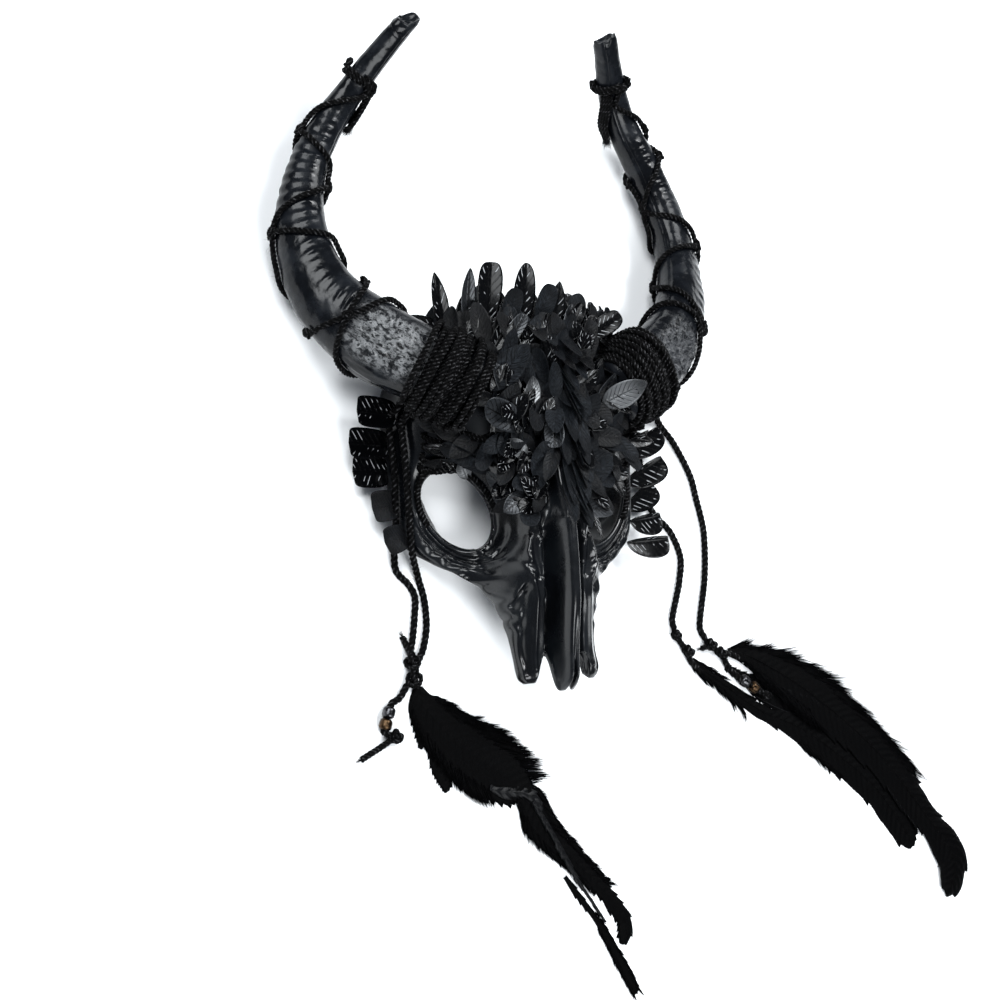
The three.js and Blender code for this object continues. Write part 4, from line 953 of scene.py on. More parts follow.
def featherParts(data, seed):
    # Vanes of a feather, its tufts along the first vane, and its rachis and streaks.
    parts = []
    for count, vane in enumerate(data["vanes"]):
        made, *frame = vanePart(vane, seed + 5 * count)
        parts += made
        if count == 0:
            line, left, ahead, half, base = frame
            vaneHigh = vane["high"]
    runLength = vaneShape["step"] * len(line)
    for index, (sign, start, end, length, slant) in enumerate(data.get("tufts", [])):
        # Barbs of a tuft stand out together, their tips drawn to each other
        groups = max(2, int((end - start) * runLength / tuftShape["spacing"]))
        group = np.repeat(np.arange(groups), tuftShape["barbs"])
        g = group + 100 * index + 17 * seed
        n = np.arange(len(group)) + 1000 * index + 31 * seed
        place = start + (end - start) * (group / groups + 0.02 * scatter(n))
        at = np.clip((place * (len(line) - 1)).astype(int), 0, len(line) - 1)
        inside = tuftShape["root"][0] + tuftShape["root"][1] * scatter(n + 0.3)
        height = base[-1 if sign > 0 else 0] + 0.3 + vaneHigh * (1 - inside**2) * 0.8
        roots = np.column_stack([line[at] + left[at] * (sign * inside * half[at])[:, None], height])
        lean = slant * (0.55 + 0.9 * scatter(g + 0.1)) + 0.25 * scatter(n + 0.6)
        out = np.column_stack([left[at] * sign + ahead[at] * lean[:, None], 0.10 * scatter(n + 0.8)])
        grow = 0.35 + 0.65 * scatter(g + 0.4) ** 1.5
        sizes = ((1 - inside) * half[at] * np.sqrt(1 + lean**2) * 0.9
                 + length * grow * (0.45 + 0.55 * scatter(n + 0.5)))
        draw = sign * sizes * (0.12 - 0.3 * scatter(g + 0.7) + 0.05 * scatter(n + 0.2))
        parts.append(hairs(roots, out, sizes, tuftShape["width"], draw))
    if "rachis" in data:
        path = smoothPath(np.array([(x, y, 0.9) for x, y in data["rachis"]], float), 0.8)
        parts.append(tube(path, np.broadcast_to([0, 0, 1.0], path.shape),
                          unit(np.cross(unit(np.gradient(path, axis=0)), [0, 0, 1.0])),
                          tuftShape["rachis"], 6, 1))
    for x0, y0, x1, y1, count, length, turn in data.get("streaks", []):
        k = np.linspace(0, 1, count)
        n = np.arange(count) + x0
        roots = np.column_stack([x0 + (x1 - x0) * k, y0 + (y1 - y0) * k, 0 * k])
        near = np.argmin(np.linalg.norm(roots[:, None, :2] - line[None], axis=2), axis=1)
        gap = np.linalg.norm(roots[:, :2] - line[near], axis=1) / half[near]
        roots[:, 2] = 0.9 + vaneHigh * np.clip(1 - gap**2, 0, 1) + 2.1 * np.clip(gap, 0, 1) * (
            ((roots[:, :2] - line[near]) * left[near]).sum(1) < 0)
        aim = (turn + 14 * (scatter(n + 0.2) - 0.5)) * degree
        out = np.column_stack([np.cos(aim), np.sin(aim), -0.03 + 0 * k])
        parts.append(hairs(roots, out, length * (0.6 + 0.4 * scatter(n + 0.4)),
                           tuftShape["streakWidth"], tuftShape["streakBend"], 1))
    return parts


for count, (name, data) in enumerate(feathers.items()):
    look = [quillFinish if name == "feather_left_quill" else featherFinish, quillFinish]
    makePiece(name + "_vane", featherParts(data, count + 1), look,
                                   [name])

# The knots and beads sit on the cords; feathers lie beside them
print("cords:", {name: round(pathLength(path)) for name, path in cordPaths.items()})

# Skull shell: rows of y at the middle, half width, rim height, roof height, squareness of the
# section and sweep of the row's ends
skull = {
    "rows": [
        (-118, 24, 37, 42.5, 0.9, 0), (-115, 26.5, 36, 45.5, 0.9, 0),
        (-108, 27.5, 35.5, 47, 0.85, 0), (-96, 27.8, 34, 49, 0.85, 0),
        (-80, 29, 31, 53, 0.85, 0), (-64, 33.2, 28, 57.5, 0.9, 0),
        (-52, 41, 25, 59, 0.95, 0), (-44, 52.5, 22, 60, 1, 0), (-36, 64, 14, 60.5, 1, 0),
        (-26, 75.5, 5, 61, 1, 0), (-14, 80.5, 0, 61, 1, 0), (8, 83, 0, 61, 1, 0),
        (36, 84, 0, 62, 0.95, 0), (62, 84, 0, 63, 0.8, 0), (84, 81, 6, 61, 0.78, 6),
        (100, 76, 16, 54, 0.8, 14), (110, 72, 25, 46, 0.85, 21), (116, 70, 32, 38, 0.9, 26),
    ],
    "wall": 2.4, "sideProngShorter": 6,
    "bar": {"height": 12.5, "halfWidth": 5.5}, "groove": {"depth": 9, "x": 9.6, "halfWidth": 3.2},
    "notch": {"x": 11.6, "halfWidth": 4.6, "depth": 17}, "slit": {"depth": 13, "halfWidth": 0.8},
    # Scallops along the cheek's edge, and the lumps above them
    "scallop": {"y": (-84, -74, -40, -30), "first": 84, "spacing": 10.5, "height": 1.3},
    "lumps": {"y": (-88, -76, -30, -18), "centre": (30, -84), "spacing": 11.5, "height": 1.3,
              "edgeY": (-80, -64, -52, -44, -36, -26), "edgeX": (27, 32, 39, 48, 58, 70)},
    # Rings below the eye hole: height, distance in half axes of the hole, width
    "rings": [(1.9, 1.27, 0.05), (1.3, 1.43, 0.045), (-1.1, 1.35, 0.035), (-0.9, 1.52, 0.05)],
}
eye = {"x": 51.8, "y": -5.2, "long": 26.2, "short": 16.2, "tilt": 57, "height": 26,
       "slopeX": -0.331, "slopeY": 0.144, "rim": 1.9, "bowl": (-168, 22), "lean": 11,
       "braid": 2.6,
       "cut": 1.075}  # the hole in the sheet is this much wider, and the rim covers its edge


def eyeDistance(x, y):
    # 1 on the edge of the eye hole, in units of its half axes.
    dx, dy = np.abs(x) - eye["x"], y - eye["y"]
    c, s = np.cos(eye["tilt"] * degree), np.sin(eye["tilt"] * degree)
    return np.hypot((dx * c + dy * s) / eye["long"], (dy * c - dx * s) / eye["short"])


def socketDepth(x, y):
    angle = np.arctan2(y - eye["y"], np.abs(x) - eye["x"])
    low = smooth(0.1, 0.75, -np.sin(angle)) * smooth(-0.75, 0.1, np.cos(angle))
    return 1 - smooth(1.08, 1.7 + 1.5 * low, eyeDistance(x, y))


def socketHeight(x, y):
    return eye["height"] + eye["slopeX"] * (np.abs(x) - eye["x"]) + eye["slopeY"] * (y - eye["y"])


def noseRelief(x, y):
    # Bar along the nose, with a groove on each side of it.
    a = np.abs(x)
    bar, groove = skull["bar"], skull["groove"]
    raised = (bar["height"] * np.exp(-((a / bar["halfWidth"]) ** 4)) * smooth(-126, -108, y)
              * (1 - 0.5 * smooth(-20, 20, y)) * (1 - smooth(60, 100, y)))
    return raised - groove["depth"] * bell(a, groove["x"], groove["halfWidth"]) * window(
        y, -116, -98, -26, -10)


def crease(x, y, line, width):
    # 1 on a line of (x, y) points on either side of the middle, fading over width, 0 past its ends.
    a, line = np.abs(x), np.array(line, float)
    best = np.full(np.shape(a), 1e9)
    for (x0, y0), (x1, y1) in zip(line, line[1:]):
        dx, dy = x1 - x0, y1 - y0
        t = np.clip(((a - x0) * dx + (y - y0) * dy) / (dx * dx + dy * dy), 0, 1)
        best = np.minimum(best, np.hypot(a - x0 - t * dx, y - y0 - t * dy))
    return np.exp(-((best / width) ** 2))


# Creases and ridges of the face: height, width and the points they pass
faceLines = [
    (1.6, 1.7, [(20.5, -50), (18.5, -63), (19, -83), (20, -104)]),
    (-1.3, 1.3, [(23.5, -58), (24.5, -72), (25, -90), (24, -106)]),
    (1.5, 1.8, [(21.5, -50), (28, -57), (31.5, -66), (29.5, -80)]),
    (-2.6, 2.2, [(23.5, -56), (25.5, -60), (28, -66)]),
    (1.6, 2.0, [(43, -15), (41, -26), (36, -35), (28, -41), (22, -48)]),
    (1.9, 1.6, [(4, -18), (10, -24), (15.5, -30)]),
    (2.2, 1.8, [(21.5, -27), (24, -35), (22, -41)]),
    (-2.4, 2.6, [(41, -38), (37, -43)]),
    (-1.8, 2.4, [(31, -24), (30, -32)]),
    (-1.5, 1.8, [(19, -24), (18, -38), (15.5, -50)]),
    (1.2, 1.4, [(13.2, -44), (12.6, -70), (13.5, -98)]),
    (-1.6, 3.0, [(50, -45), (38, -52)]),
]


def skullRelief(x, y):
    # Finer forms of the moulded bone, added to its height.
    a = np.abs(x)
    flat = x * 0
    angle = np.arctan2(y - eye["y"], a - eye["x"]) / degree
    total = window(angle, -172, -140, -35, -5) * sum(
        height * bell(eyeDistance(x, y), at, width) for height, at, width in skull["rings"])
    for height, width, line in faceLines:
        total += height * crease(x, y, line, width)
    cheek = skull["lumps"]
    edge = a - np.interp(y, cheek["edgeY"], cheek["edgeX"])
    far = np.hypot(a - cheek["centre"][0], y - cheek["centre"][1])
    lumps = cheek["height"] * np.sin(far * 2 * np.pi / cheek["spacing"])
    total += lumps * bell(edge, 0, 5.5) * window(y, *cheek["y"])
    # Beads of bone in the grooves and creased ends of the prongs
    grooves = bell(a, skull["groove"]["x"], 3.4) * (1 - smooth(-52, -34, y))
    line = np.stack([x, y * 0.55, flat], -1)
    total += grooves * (1.5 * bumps(line, 3.6, 2.0) + 0.5 * bumps(line, 1.6, 5.0))
    ends = smooth(-92, -106, y) * smooth(8, 12, a)
    total += ends * (1.3 * bumps(np.stack([x * 1.2, y * 0.4, flat], -1), 5.2, 7.0) + 1.4)
    total += 0.10 * bumps(np.stack([x, y, flat], -1), 15.0, 3.0)
    # Soft creases along the nose bar
    total -= 0.8 * bell(a, 0, 0.8) * (1 - smooth(-88, -70, y))
    return total + 0.5 * bell(a, 4.9, 0.9) * (1 - smooth(-20, 0, y))


def shellPoint(u, y0, grow, detail=0.0):
    # u runs from -1 to 1 from rim to rim: x = half width |sin(u 90)|^square and
    # height = rim + (roof - rim) |cos(u 90)|^square, sunk at the eyes, raised at the nose.
    halfWidth, low, roof, square, sweep = alongTable(skull["rows"], y0)
    rim = np.maximum(0, low)
    angle = u * np.pi / 2
    across = np.sign(u) * np.abs(np.sin(angle)) ** square
    cheek = skull["scallop"]
    scallop = cheek["height"] * np.abs(np.sin((y0 + cheek["first"]) * np.pi / cheek["spacing"])) - 0.6
    scallop = scallop * window(y0, *cheek["y"]) * smooth(0.6, 1, np.abs(u))
    x = (halfWidth + grow + detail * scallop) * across
    end = 1 - smooth(-118, -100, y0)
    y = (y0 - sweep * across**4 - grow * end
         + skull["sideProngShorter"] * smooth(0.2, 0.45, np.abs(across)) * end)
    high = np.abs(np.cos(angle)) ** square
    base = rim + np.maximum(0.4, roof + grow - rim) * high
    sunk = base - socketDepth(x, y) * np.maximum(0, base - (socketHeight(x, y) + grow))
    z = sunk + noseRelief(x, y) * high**0.5
    z = z + detail * skullRelief(x, y) * np.minimum(1, high * 2.5)
    # The end is notched on both sides of the middle prong, which has a slit
    notch, slit = skull["notch"], skull["slit"]
    depth = (notch["depth"] * np.exp(-((np.abs(x) - notch["x"]) / notch["halfWidth"]) ** 4)
             + slit["depth"] * bell(x, 0, slit["halfWidth"]))
    y = y + depth * (1 - smooth(-118, -92, y0)) * detail
    return np.stack([x, y, np.maximum(rim, z)], -1)


def shellHeight(x, y):
    # Height of the bare shell over (x, y), far below the floor outside it.
    y0 = np.asarray(y, float)
    for _ in range(4):
        halfWidth, low, roof, square, sweep = alongTable(skull["rows"], y0)
        y0 = y + sweep * np.minimum(1, np.abs(x) / halfWidth) ** 4
    a = np.abs(x) / halfWidth
    high = np.cos(np.arcsin(np.minimum(1, a) ** (1 / square))) ** square
    rim = np.maximum(0, low)
    base = rim + np.maximum(0.4, roof - rim) * high
    sunk = base - socketDepth(x, y) * np.maximum(0, base - socketHeight(x, y))
    z = np.maximum(rim, sunk + noseRelief(x, y) * high**0.5)
    return np.where((a < 1) & (y0 > -118) & (y0 < 116), z, -99)


def onShell(x, y, lift):
    # Point over (x, y) raised by lift, and the outward direction there; a place outside the
    # shell takes its edge.
    x, y = np.asarray(x, float), np.asarray(y, float)
    halfWidth = 0.9985 * alongTable(skull["rows"], y)[0]
    x = np.clip(x, -halfWidth, halfWidth)
    e = 1.5
    outer = np.sign(x) * e * (np.abs(x) < 75) + x
    slopeX = np.sign(outer) * (shellHeight(outer, y)
                               - shellHeight(outer - 2 * e * np.sign(outer), y)) / (2 * e)
    slopeY = (shellHeight(x, y + e) - shellHeight(x, y - e)) / (2 * e)
    normal = unit(np.stack([-np.clip(slopeX, -9, 9), -np.clip(slopeY, -9, 9), x * 0 + 1], -1))
    point = np.stack([x, y, np.maximum(shellHeight(x, y), 3)], -1)
    return point + normal * np.asarray(lift, float)[..., None], normal


def skullSheet():
    # Outer and inner face of the skull, with the eye holes left out.
    k = np.linspace(-1, 1, 241)
    u = np.sign(k) * np.abs(k) ** 1.1
    y0 = np.concatenate([np.linspace(-118, -30, 100), np.linspace(-29, 116, 116)])
    u, y0 = np.meshgrid(u, y0)
    outer = shellPoint(u, y0, 0, 1.0)
    inner = shellPoint(u, y0, -skull["wall"], 0.0)
    shift = outer[..., 1] - shellPoint(u, y0, 0, 0.0)[..., 1]
    inner[..., 1] += shift
    inner[..., 2] = np.minimum(inner[..., 2], outer[..., 2] - 0.9 * np.minimum(
        1, 0.2 + np.cos(u * np.pi / 2)))
    inner[..., 2] = np.maximum(inner[..., 2], 0)
    middle = (outer[:-1, :-1] + outer[1:, 1:]) / 2
    keep = eyeDistance(middle[..., 0], middle[..., 1]) > eye["cut"]
    return skinWithHoles(outer, inner, keep, (u * 100, y0))


def eyeEdge(t, grow=0.0):
    # Point on the edge of the right eye hole at angle t round its ellipse.
    p, q = (eye["long"] + grow) * np.cos(t), (eye["short"] + grow) * np.sin(t)
    c, s = np.cos(eye["tilt"] * degree), np.sin(eye["tilt"] * degree)
    x, y = eye["x"] + p * c - q * s, eye["y"] + p * s + q * c
    return np.stack([x, y, socketHeight(x, y)], -1)


def eyeRim(side):
    # Rolled edge of the eye hole, thick below and on the temple's side, thin beside the nose.
    t = np.arange(160) * 2 * np.pi / 160
    where = np.cos(t - 1.62 * np.pi)
    size = eye["rim"] * (0.42 + 0.58 * smooth(-0.25, 0.5, where))
    centres = eyeEdge(t, 1.5) * [side, 1, 1] - [0, 0, 0.9]
    tangent = unit(np.roll(centres, -1, 0) - np.roll(centres, 1, 0))
    up = np.broadcast_to([0, 0, 1.0], centres.shape)
    out = unit(np.cross(tangent, up))
    return closedRings(ringPoints(centres, size[:, None, None], out, up, 14))


def eyeBowl(side):
    # Inner wall of the socket: it leans in from the edge of the hole on the temple's side,
    # and is a narrow lip along the lower edge.
    t = np.linspace(eye["bowl"][0], eye["bowl"][1], 90) * degree
    k = np.linspace(0, 1, 22)
    share = np.linspace(0, 1, 90)
    rim = eyeEdge(t, 1.2)
    centre = np.array([eye["x"] - 1, eye["y"] + 1])
    lean = eye["lean"] * window(share, 0, 0.35, 0.62, 1) + 1.2
    inward = unit(np.column_stack([centre - rim[:, :2], 0 * t]))
    inward = unit(inward + [-0.25, 0.25, 0])
    foot = rim + inward * lean[:, None]
    foot[:, 2] = rim[:, 2] - (rim[:, 2] - 1.0) * (0.15 + 0.85 * window(share, 0, 0.3, 0.7, 1))
    wall = rim[:, None] + (foot - rim)[:, None] * k[None, :, None]
    hollow = np.sin(np.pi * k)[None] * 0.12 * lean[:, None]
    wall = wall - inward[:, None] * hollow[..., None]
    wall[..., 2] += 0.5 * bumps(wall, 6.0, 4.0)
    wall[..., 2] = np.maximum(wall[..., 2], 0.9)
    behind = wall - inward[:, None] * 1.0 - [0, 0, 0.6]
    behind[..., 2] = np.maximum(behind[..., 2], 0)
    flip = [side, 1, 1]
    uv = np.broadcast_arrays(k[None] * 10, t[:, None] * 10)
    return skin(wall * flip, behind * flip, uv)


makePiece("skull_moulded", [skullSheet(), eyeRim(-1), eyeRim(1), eyeBowl(-1), eyeBowl(1)],
          [skullFinish], ["skull_shell"])
print("skull made")

# Horn surface
tips = {"left": {"slant": 5.0, "seed": 3.0, "bars": (82, 92, 218, 236), "soft": (140, 160, 200, 225)},
        "right": {"slant": -1.5, "seed": 8.0, "bars": (176, 184, 232, 246),
                  "soft": (96, 106, 140, 160)}}


def hornRelief(tip, length, angle, p):
    # Height of the ribs, the bark and the streaks over the plain horn.
    seed = tip["seed"]
    turnTo = (angle + 180) % 360 - 180  # -180 to 180, 0 is the inner side, 90 is up
    flat = length * 0
    # Ribs: short bars along the upper side, and soft broad ones towards the outer side
    ribPhase = (length + horn["ribCurve"] * np.sin((turnTo - 90) * degree)
                + 0.9 * bumps(p * [1, 0.4, 1], 22, seed)) / horn["ribSpacing"]
    nearest = ribPhase.round()
    strength = 0.55 + 0.45 * bumps(np.stack([nearest, flat, flat], -1), 0.7, seed)
    barWhere = window(length, *tip["bars"]) * bell(angle, 88 + 4 * np.sin(length / 9), 17)
    total = horn["ribHeight"] * bell(ribPhase, nearest, horn["ribWidth"]) * barWhere * strength
    total += (horn["softRibHeight"] * (0.5 + 0.5 * np.cos(ribPhase * 2 * np.pi))
              * window(length, *tip["soft"]) * window(angle, *horn["softRibs"]))
    # Bark: crumpled patch at the base, drawn out along the horn, and streaks beside it
    barkWhere, streakWhere = [window(length, *horn[form][0]) * window(angle, *horn[form][1])
                              for form in ("bark", "streaks")]
    q = np.stack([length / 1.35, np.cumsum(np.full(length.shape, 1.2), 1), flat], -1)
    crumple = ((1 - np.abs(bumps(q, 5.0, seed)) * 2) + 0.8 * (1 - np.abs(bumps(q, 2.6, seed + 1)) * 2)
               + 0.5 * bumps(q, 1.5, seed + 2))
    total += horn["barkHeight"] * barkWhere * (crumple - 0.9)
    total += horn["streakHeight"] * streakWhere * bumps(
        np.stack([length / 8, angle / 4.5, flat], -1), 1.0, seed + 4)
    # Dents: broad ones that end towards the tip, and fine ones between the bars
    total += 0.3 * bumps(p, 11, seed + 5) * (1 - smooth(230, 290, length))
    total += 0.16 * bumps(p, 3.4, seed + 6) * (1 - barWhere)
    for at, depth, start in horn["bandEdges"]:
        total -= depth * bell(turnTo, at, 3.2) * smooth(*start, length)
    return np.minimum(total, horn["mostRelief"])


def hornPart(name, side):
    tip = tips[name]
    length = np.concatenate([np.linspace(0, 100, 150), np.linspace(100, hornLength, 251)[1:]])
    length, angle = np.meshgrid(length, np.arange(108) * 360 / 108, indexing="ij")
    raised = hornRelief(tip, length, angle, hornPoint(length, angle, 0))
    fade = 1 - smooth(hornLength - 9, hornLength - 2, length)
    shrink = 1 - 0.12 * smooth(hornLength - 5, hornLength, length) ** 2
    points = hornPoint(length, angle, raised * (0.3 + 0.7 * fade), shrink)
    # Tip: cut off at a slant, with a broken, hollowed face
    pull = smooth(hornLength - horn["pull"], hornLength, length)
    slant = (tip["slant"] * np.cos((angle - 120) * degree)
             + 1.4 * bumps(points * [1, 0, 1], 3.0, tip["seed"]))
    points = points - hornTangent[-1] * (pull * (np.abs(tip["slant"]) + 1.4 + slant))[..., None]
    rings = points * [side, 1, 1]
    inward = hornTangent[-1] * [side, 1, 1]
    centre = rings[-1].mean(0)
    hollow = [centre + (rings[-1] - centre) * k - inward * depth for k, depth in horn["hollow"]]
    first = rings[0].mean(0)
    rings = np.concatenate([rings, np.stack(hollow)])
    points = np.concatenate([rings.reshape(-1, 3), [first, centre - inward * horn["hollowDepth"]]])
    uv = np.zeros((len(points), 2))
    uv[:length.size] = np.stack([length, angle / 360], -1).reshape(-1, 2)
    return {"points": points, "faces": cappedFaces(*rings.shape[:2]), "uv": uv, "finish": 0}


# Rope coil round each horn base, and the two cords laced up each horn: lines of
# (length along the horn, angle round it), 0 is the inner side and 90 is up
wrap = {"radius": 1.9, "pitch": 8.5,
        # Layers: first and last length, turns, lift, wobble
        "layers": [(0.5, 40.5, 10.8, 0.0, 0.5), (5.0, 38.0, 7.2, 2.6, -1.6),
                   (10.0, 31.0, 3.1, 4.6, 2.4)]}
lace = {
    "radius": 1.85, "pitch": 8.5, "gap": 1.95, "ringAt": {"left": 259, "right": 275}, "ringTurns": 2,
    "left": [
        [(50, -90), (60, 10), (73, 40), (82, 92), (92, 148), (97, 190), (122, 372), (140, 400),
         (146, 468), (152, 550), (181, 735), (198, 758), (207, 840), (212, 895), (238, 1045),
         (250, 1090)],
        [(50, 330), (72, 210), (79, 178), (85, 120), (91, 54), (100, 20), (126, -158), (144, -168),
         (158, -202), (171, -278), (183, -340), (207, -535), (220, -556), (238, -618), (253, -690)]],
    "right": [
        [(50, -190), (66, -50), (84, 40), (91, 94), (95, 140), (128, 318), (140, 365), (149, 424),
         (153, 500), (161, 675), (183, 708), (201, 766), (211, 825), (222, 885), (258, 1060)],
        [(50, 290), (64, 185), (78, 142), (95, 98), (104, 50), (128, -42), (149, -205),
         (161, -222), (173, -290), (184, -354), (207, -394), (229, -560), (240, -582),
         (251, -616), (264, -680)]],
    # Frayed tails of the end knot, (length beyond the ring, angle, height), and their turns round
    "tails": {"left": [(-2, 2, 2.6), (-10, -2, 3.4), (-20, -6, 3.6), (-27, -10, 3.2)],
              "right": [(-3, 20, 2.4), (-12, 8, 3.0), (-24, -20, 3.6), (-34, -34, 3.4)]},
    "tailTurns": (-22, -10, 0, 12), "tailRadius": 1.5, "tailPitch": 9.0, "brush": 70,
    # Lumps where a lace is looped round the other, (length, angle)
    "lumpRadius": 1.15, "lumpPitch": 6.0, "lumpSize": (0.95, 0.85, 0.9), "lumpHeight": 2.9,
    "lumps": {"left": [(98, 28), (97, 184), (151, 190), (184, 18), (212, 172), (262, 165), (257, 8)],
              "right": [(93, 126), (154, 140), (129, -40), (208, -30), (215, 140), (236, 142),
                        (277, -50), (276, 120)]},
}


def awayFromAxis(path):
    # Direction from the horn's centre line to each point of a path.
    near = np.argmin(np.linalg.norm(path[:, None] - hornLine[None, ::4], axis=2), axis=1) * 4
    return path - hornLine[near]


def wrapParts(side, seed):
    # Coils of rope laid over each other; the stretches that would lie inside the skull are left out.
    parts = []
    for start, stop, turns, lift, wobble in wrap["layers"]:
        k = np.linspace(0, 1, int(turns * 400))
        angle = 360 * turns * k + 40 * lift
        length = (start + (stop - start) * k + wobble * np.sin(angle * degree * 0.5 + seed)
                  + wobble * 0.8 * np.sin(angle * degree + seed * 2))
        out = wrap["radius"] + 0.35 + lift + 0.35 * bumps(np.stack([k * 90, k, k], 1), 1, seed + lift)
        path = evenPath(hornPoint(length, angle, out), 0.9)
        fromAxis = awayFromAxis(path) * [side, 1, 1]
        path = path * [side, 1, 1]
        over = path[:, 2] > shellHeight(path[:, 0], path[:, 1]) - 1.0
        marks = np.flatnonzero(np.diff(np.concatenate([[0], over.astype(int), [0]])))
        for first, last in zip(marks[::2], marks[1::2]):
            if last - first > 12:
                parts += twistedRope(path[first:last], wrap["radius"], wrap["pitch"],
                                     fromAxis[first:last], sides=6)
    return parts


def lacePath(table):
    length = np.arange(table[0][0], table[-1][0], 0.15)
    angle = alongTable(table, length)[0]
    return evenPath(hornPoint(length, angle, lace["gap"]), 0.9)


def crossings(first, second):
    # Lengths at which the two laces pass over each other.
    length = np.arange(52, 230, 0.25)
    gap = (alongTable(first, length)[0] - alongTable(second, length)[0]) / 360
    change = np.flatnonzero(np.diff(np.floor(gap)) != 0)
    return length[change], alongTable(first, length[change])[0]


def laceParts(name, side):
    first, second = lace[name]
    at = lace["ringAt"][name]
    flip = [side, 1, 1]
    k = np.linspace(0, 1, 160)
    ring = hornPoint(at - 2.5 + 5 * k, 80 + 360 * lace["ringTurns"] * k, lace["gap"])
    ties = [hornPoint(table[-1][0] + (at - table[-1][0]) * k, table[-1][1] + 40 * k, lace["gap"])
            for table in (first, second)]
    paths = [lacePath(first), lacePath(second)] + [evenPath(p, 0.9) for p in [ring] + ties]
    parts = []
    for count, path in enumerate(paths):
        parts += twistedRope(path * flip, lace["radius"], lace["pitch"], awayFromAxis(path) * flip)
        parts.append(fuzz(path * flip, lace["radius"], int(len(path) * 0.55), 5.0, 60.0 * count + side))
    along, wide, high = [v[:, None] for v in overhand(73)]
    long, broad, tall = lace["lumpSize"]
    for length, angle in list(zip(*crossings(first, second))) + lace["lumps"][name]:
        centre = hornPoint(length, angle, lace["lumpHeight"]) * flip
        out = unit(hornPoint(length, angle, 3.0) - hornPoint(length, angle, 1.0)) * flip
        ahead = unit(hornPoint(length + 2, angle, 3) - hornPoint(length - 2, angle, 3)) * flip
        loop = (centre + along * ahead * long + wide * np.cross(out, ahead) * broad
                + high * out * tall)
        parts += twistedRope(loop, lace["lumpRadius"], lace["lumpPitch"], out, sides=6)
    # The tails hang along the horn towards its base
    for shift in lace["tailTurns"]:
        line = smoothPath([hornPoint(at + a, b + shift, c) for a, b, c in lace["tails"][name]], 0.8)
        line = line * flip
        parts += twistedRope(line, lace["tailRadius"], lace["tailPitch"], (0.1, 0.1, 1))
        n = np.arange(lace["brush"]) + 9 * side + shift
        spread = unit((line[-1] - line[-8])[None]) + 0.9 * scatterAround(n, (0.1, 0.4, 0.7))
        parts.append(hairs(np.repeat(line[-3:-2], len(n), 0), spread, 3 + 6 * scatter(n), 0.3,
                           1.5 * (scatter(n + 0.2) - 0.5)))
    return parts


for name, side in (("left", -1), ("right", 1)):
    makePiece("horn_" + name + "_moulded", [hornPart(name, side)], [hornFinish[name]],
              ["horn_" + name])
    makePiece("horn_coil_" + name, wrapParts(side, 2.0 + side), [ropeFinish],
              ["horn_wrap_" + name])
    makePiece("horn_lacing_" + name, laceParts(name, side), [ropeFinish],
              ["horn_lace_" + name])
print("horns made")

# Leaves: (x, y of the stalk on the skull, heading, rise, length, width, lift), heading 90 points
# at the horn tips; each is followed by its look: finish, outline and veins' count
leafShape = {"thickness": 0.7, "dish": 0.22, "curl": 0.10, "wave": 0.5, "midrib": 0.35,
             "sideVein": 0.14, "veins": 8, "slant": 0.26, "rows": 25, "columns": 15}
# Exponents a and b of each outline, and the share of the half width on the left and right
outlines = {"oval": (0.45, 0.35, 1, 1), "pointed": (0.6, 0.75, 1, 1), "long": (0.45, 0.6, 1, 1),
            "square": (0.16, 0.09, 1, 1), "half": (0.5, 0.26, 0.25, 1.45),
            "round": (0.42, 0.26, 1, 1), "spear": (0.5, 0.5, 1, 1)}
leafFinishes = [glossLeaf, satinLeaf, matteLeaf, silverLeaf, dimLeaf, ropeFinish]
gloss, satin, matte, silver, dim, rope = range(6)


def leafPart(leaf, level, finish, outline, seed):
    # Outline: half width = width / 2 (f / f0)^a ((1 - f) / (1 - f0))^b, f along the leaf.
    x, y, heading, rise, length, width, lift = leaf
    point, normal = onShell(x, y, lift)
    face = np.array([0, 0, 1.0]) if level else normal
    flat = np.array([np.cos(heading * degree), np.sin(heading * degree), 0])
    ahead = unit(flat - face * flat.dot(face))
    side = unit(np.cross(face, ahead))
    direction = ahead * np.cos(rise * degree) + face * np.sin(rise * degree)
    up = np.cross(direction, side)
    a, b, shareLeft, shareRight = outlines[outline]
    top = a / (a + b)
    f = (1 - np.cos(np.linspace(0.03, 1, leafShape["rows"]) * np.pi)) / 2
    f, s = np.meshgrid(f, np.linspace(-1, 1, leafShape["columns"]), indexing="ij")
    out = np.abs(s)
    half = width / 2 * (f / top) ** a * (np.maximum(1 - f, 0) / (1 - top)) ** b
    half = np.maximum(half * np.where(s > 0, shareLeft, shareRight), 0.25)
    veins = np.cos((f - leafShape["slant"] * out) * 2 * np.pi * leafShape["veins"])
    ridge = (leafShape["midrib"] * bell(s, 0, 0.09)
             + leafShape["sideVein"] * veins * (1 - s**2) ** 0.5 * smooth(0.1, 0.3, out))
    wave = leafShape["wave"] * np.sin(f * 5 + seed * 6) * out * smooth(0.2, 0.9, f)
    high = leafShape["dish"] * out**1.3 * half + leafShape["curl"] * f**2 * length + wave + 0.25
    thin = leafShape["thickness"] * (0.25 + 0.75 * (1 - s**2) * np.minimum(1, 6 * f * (1 - f) + 0.1))
    upper, lower = [point + direction * (f * length)[..., None] + side * (s * half)[..., None]
                    + up * z[..., None] for z in (high + ridge * np.minimum(1, half), high - thin)]
    return skin(upper, lower, (f, s), finish)


def leafPiece(name, leaves, cadNode, extra=()):
    parts = [leafPart(*leaf) for leaf in leaves] + list(extra)
    return makePiece(name, parts, leafFinishes, [cadNode])


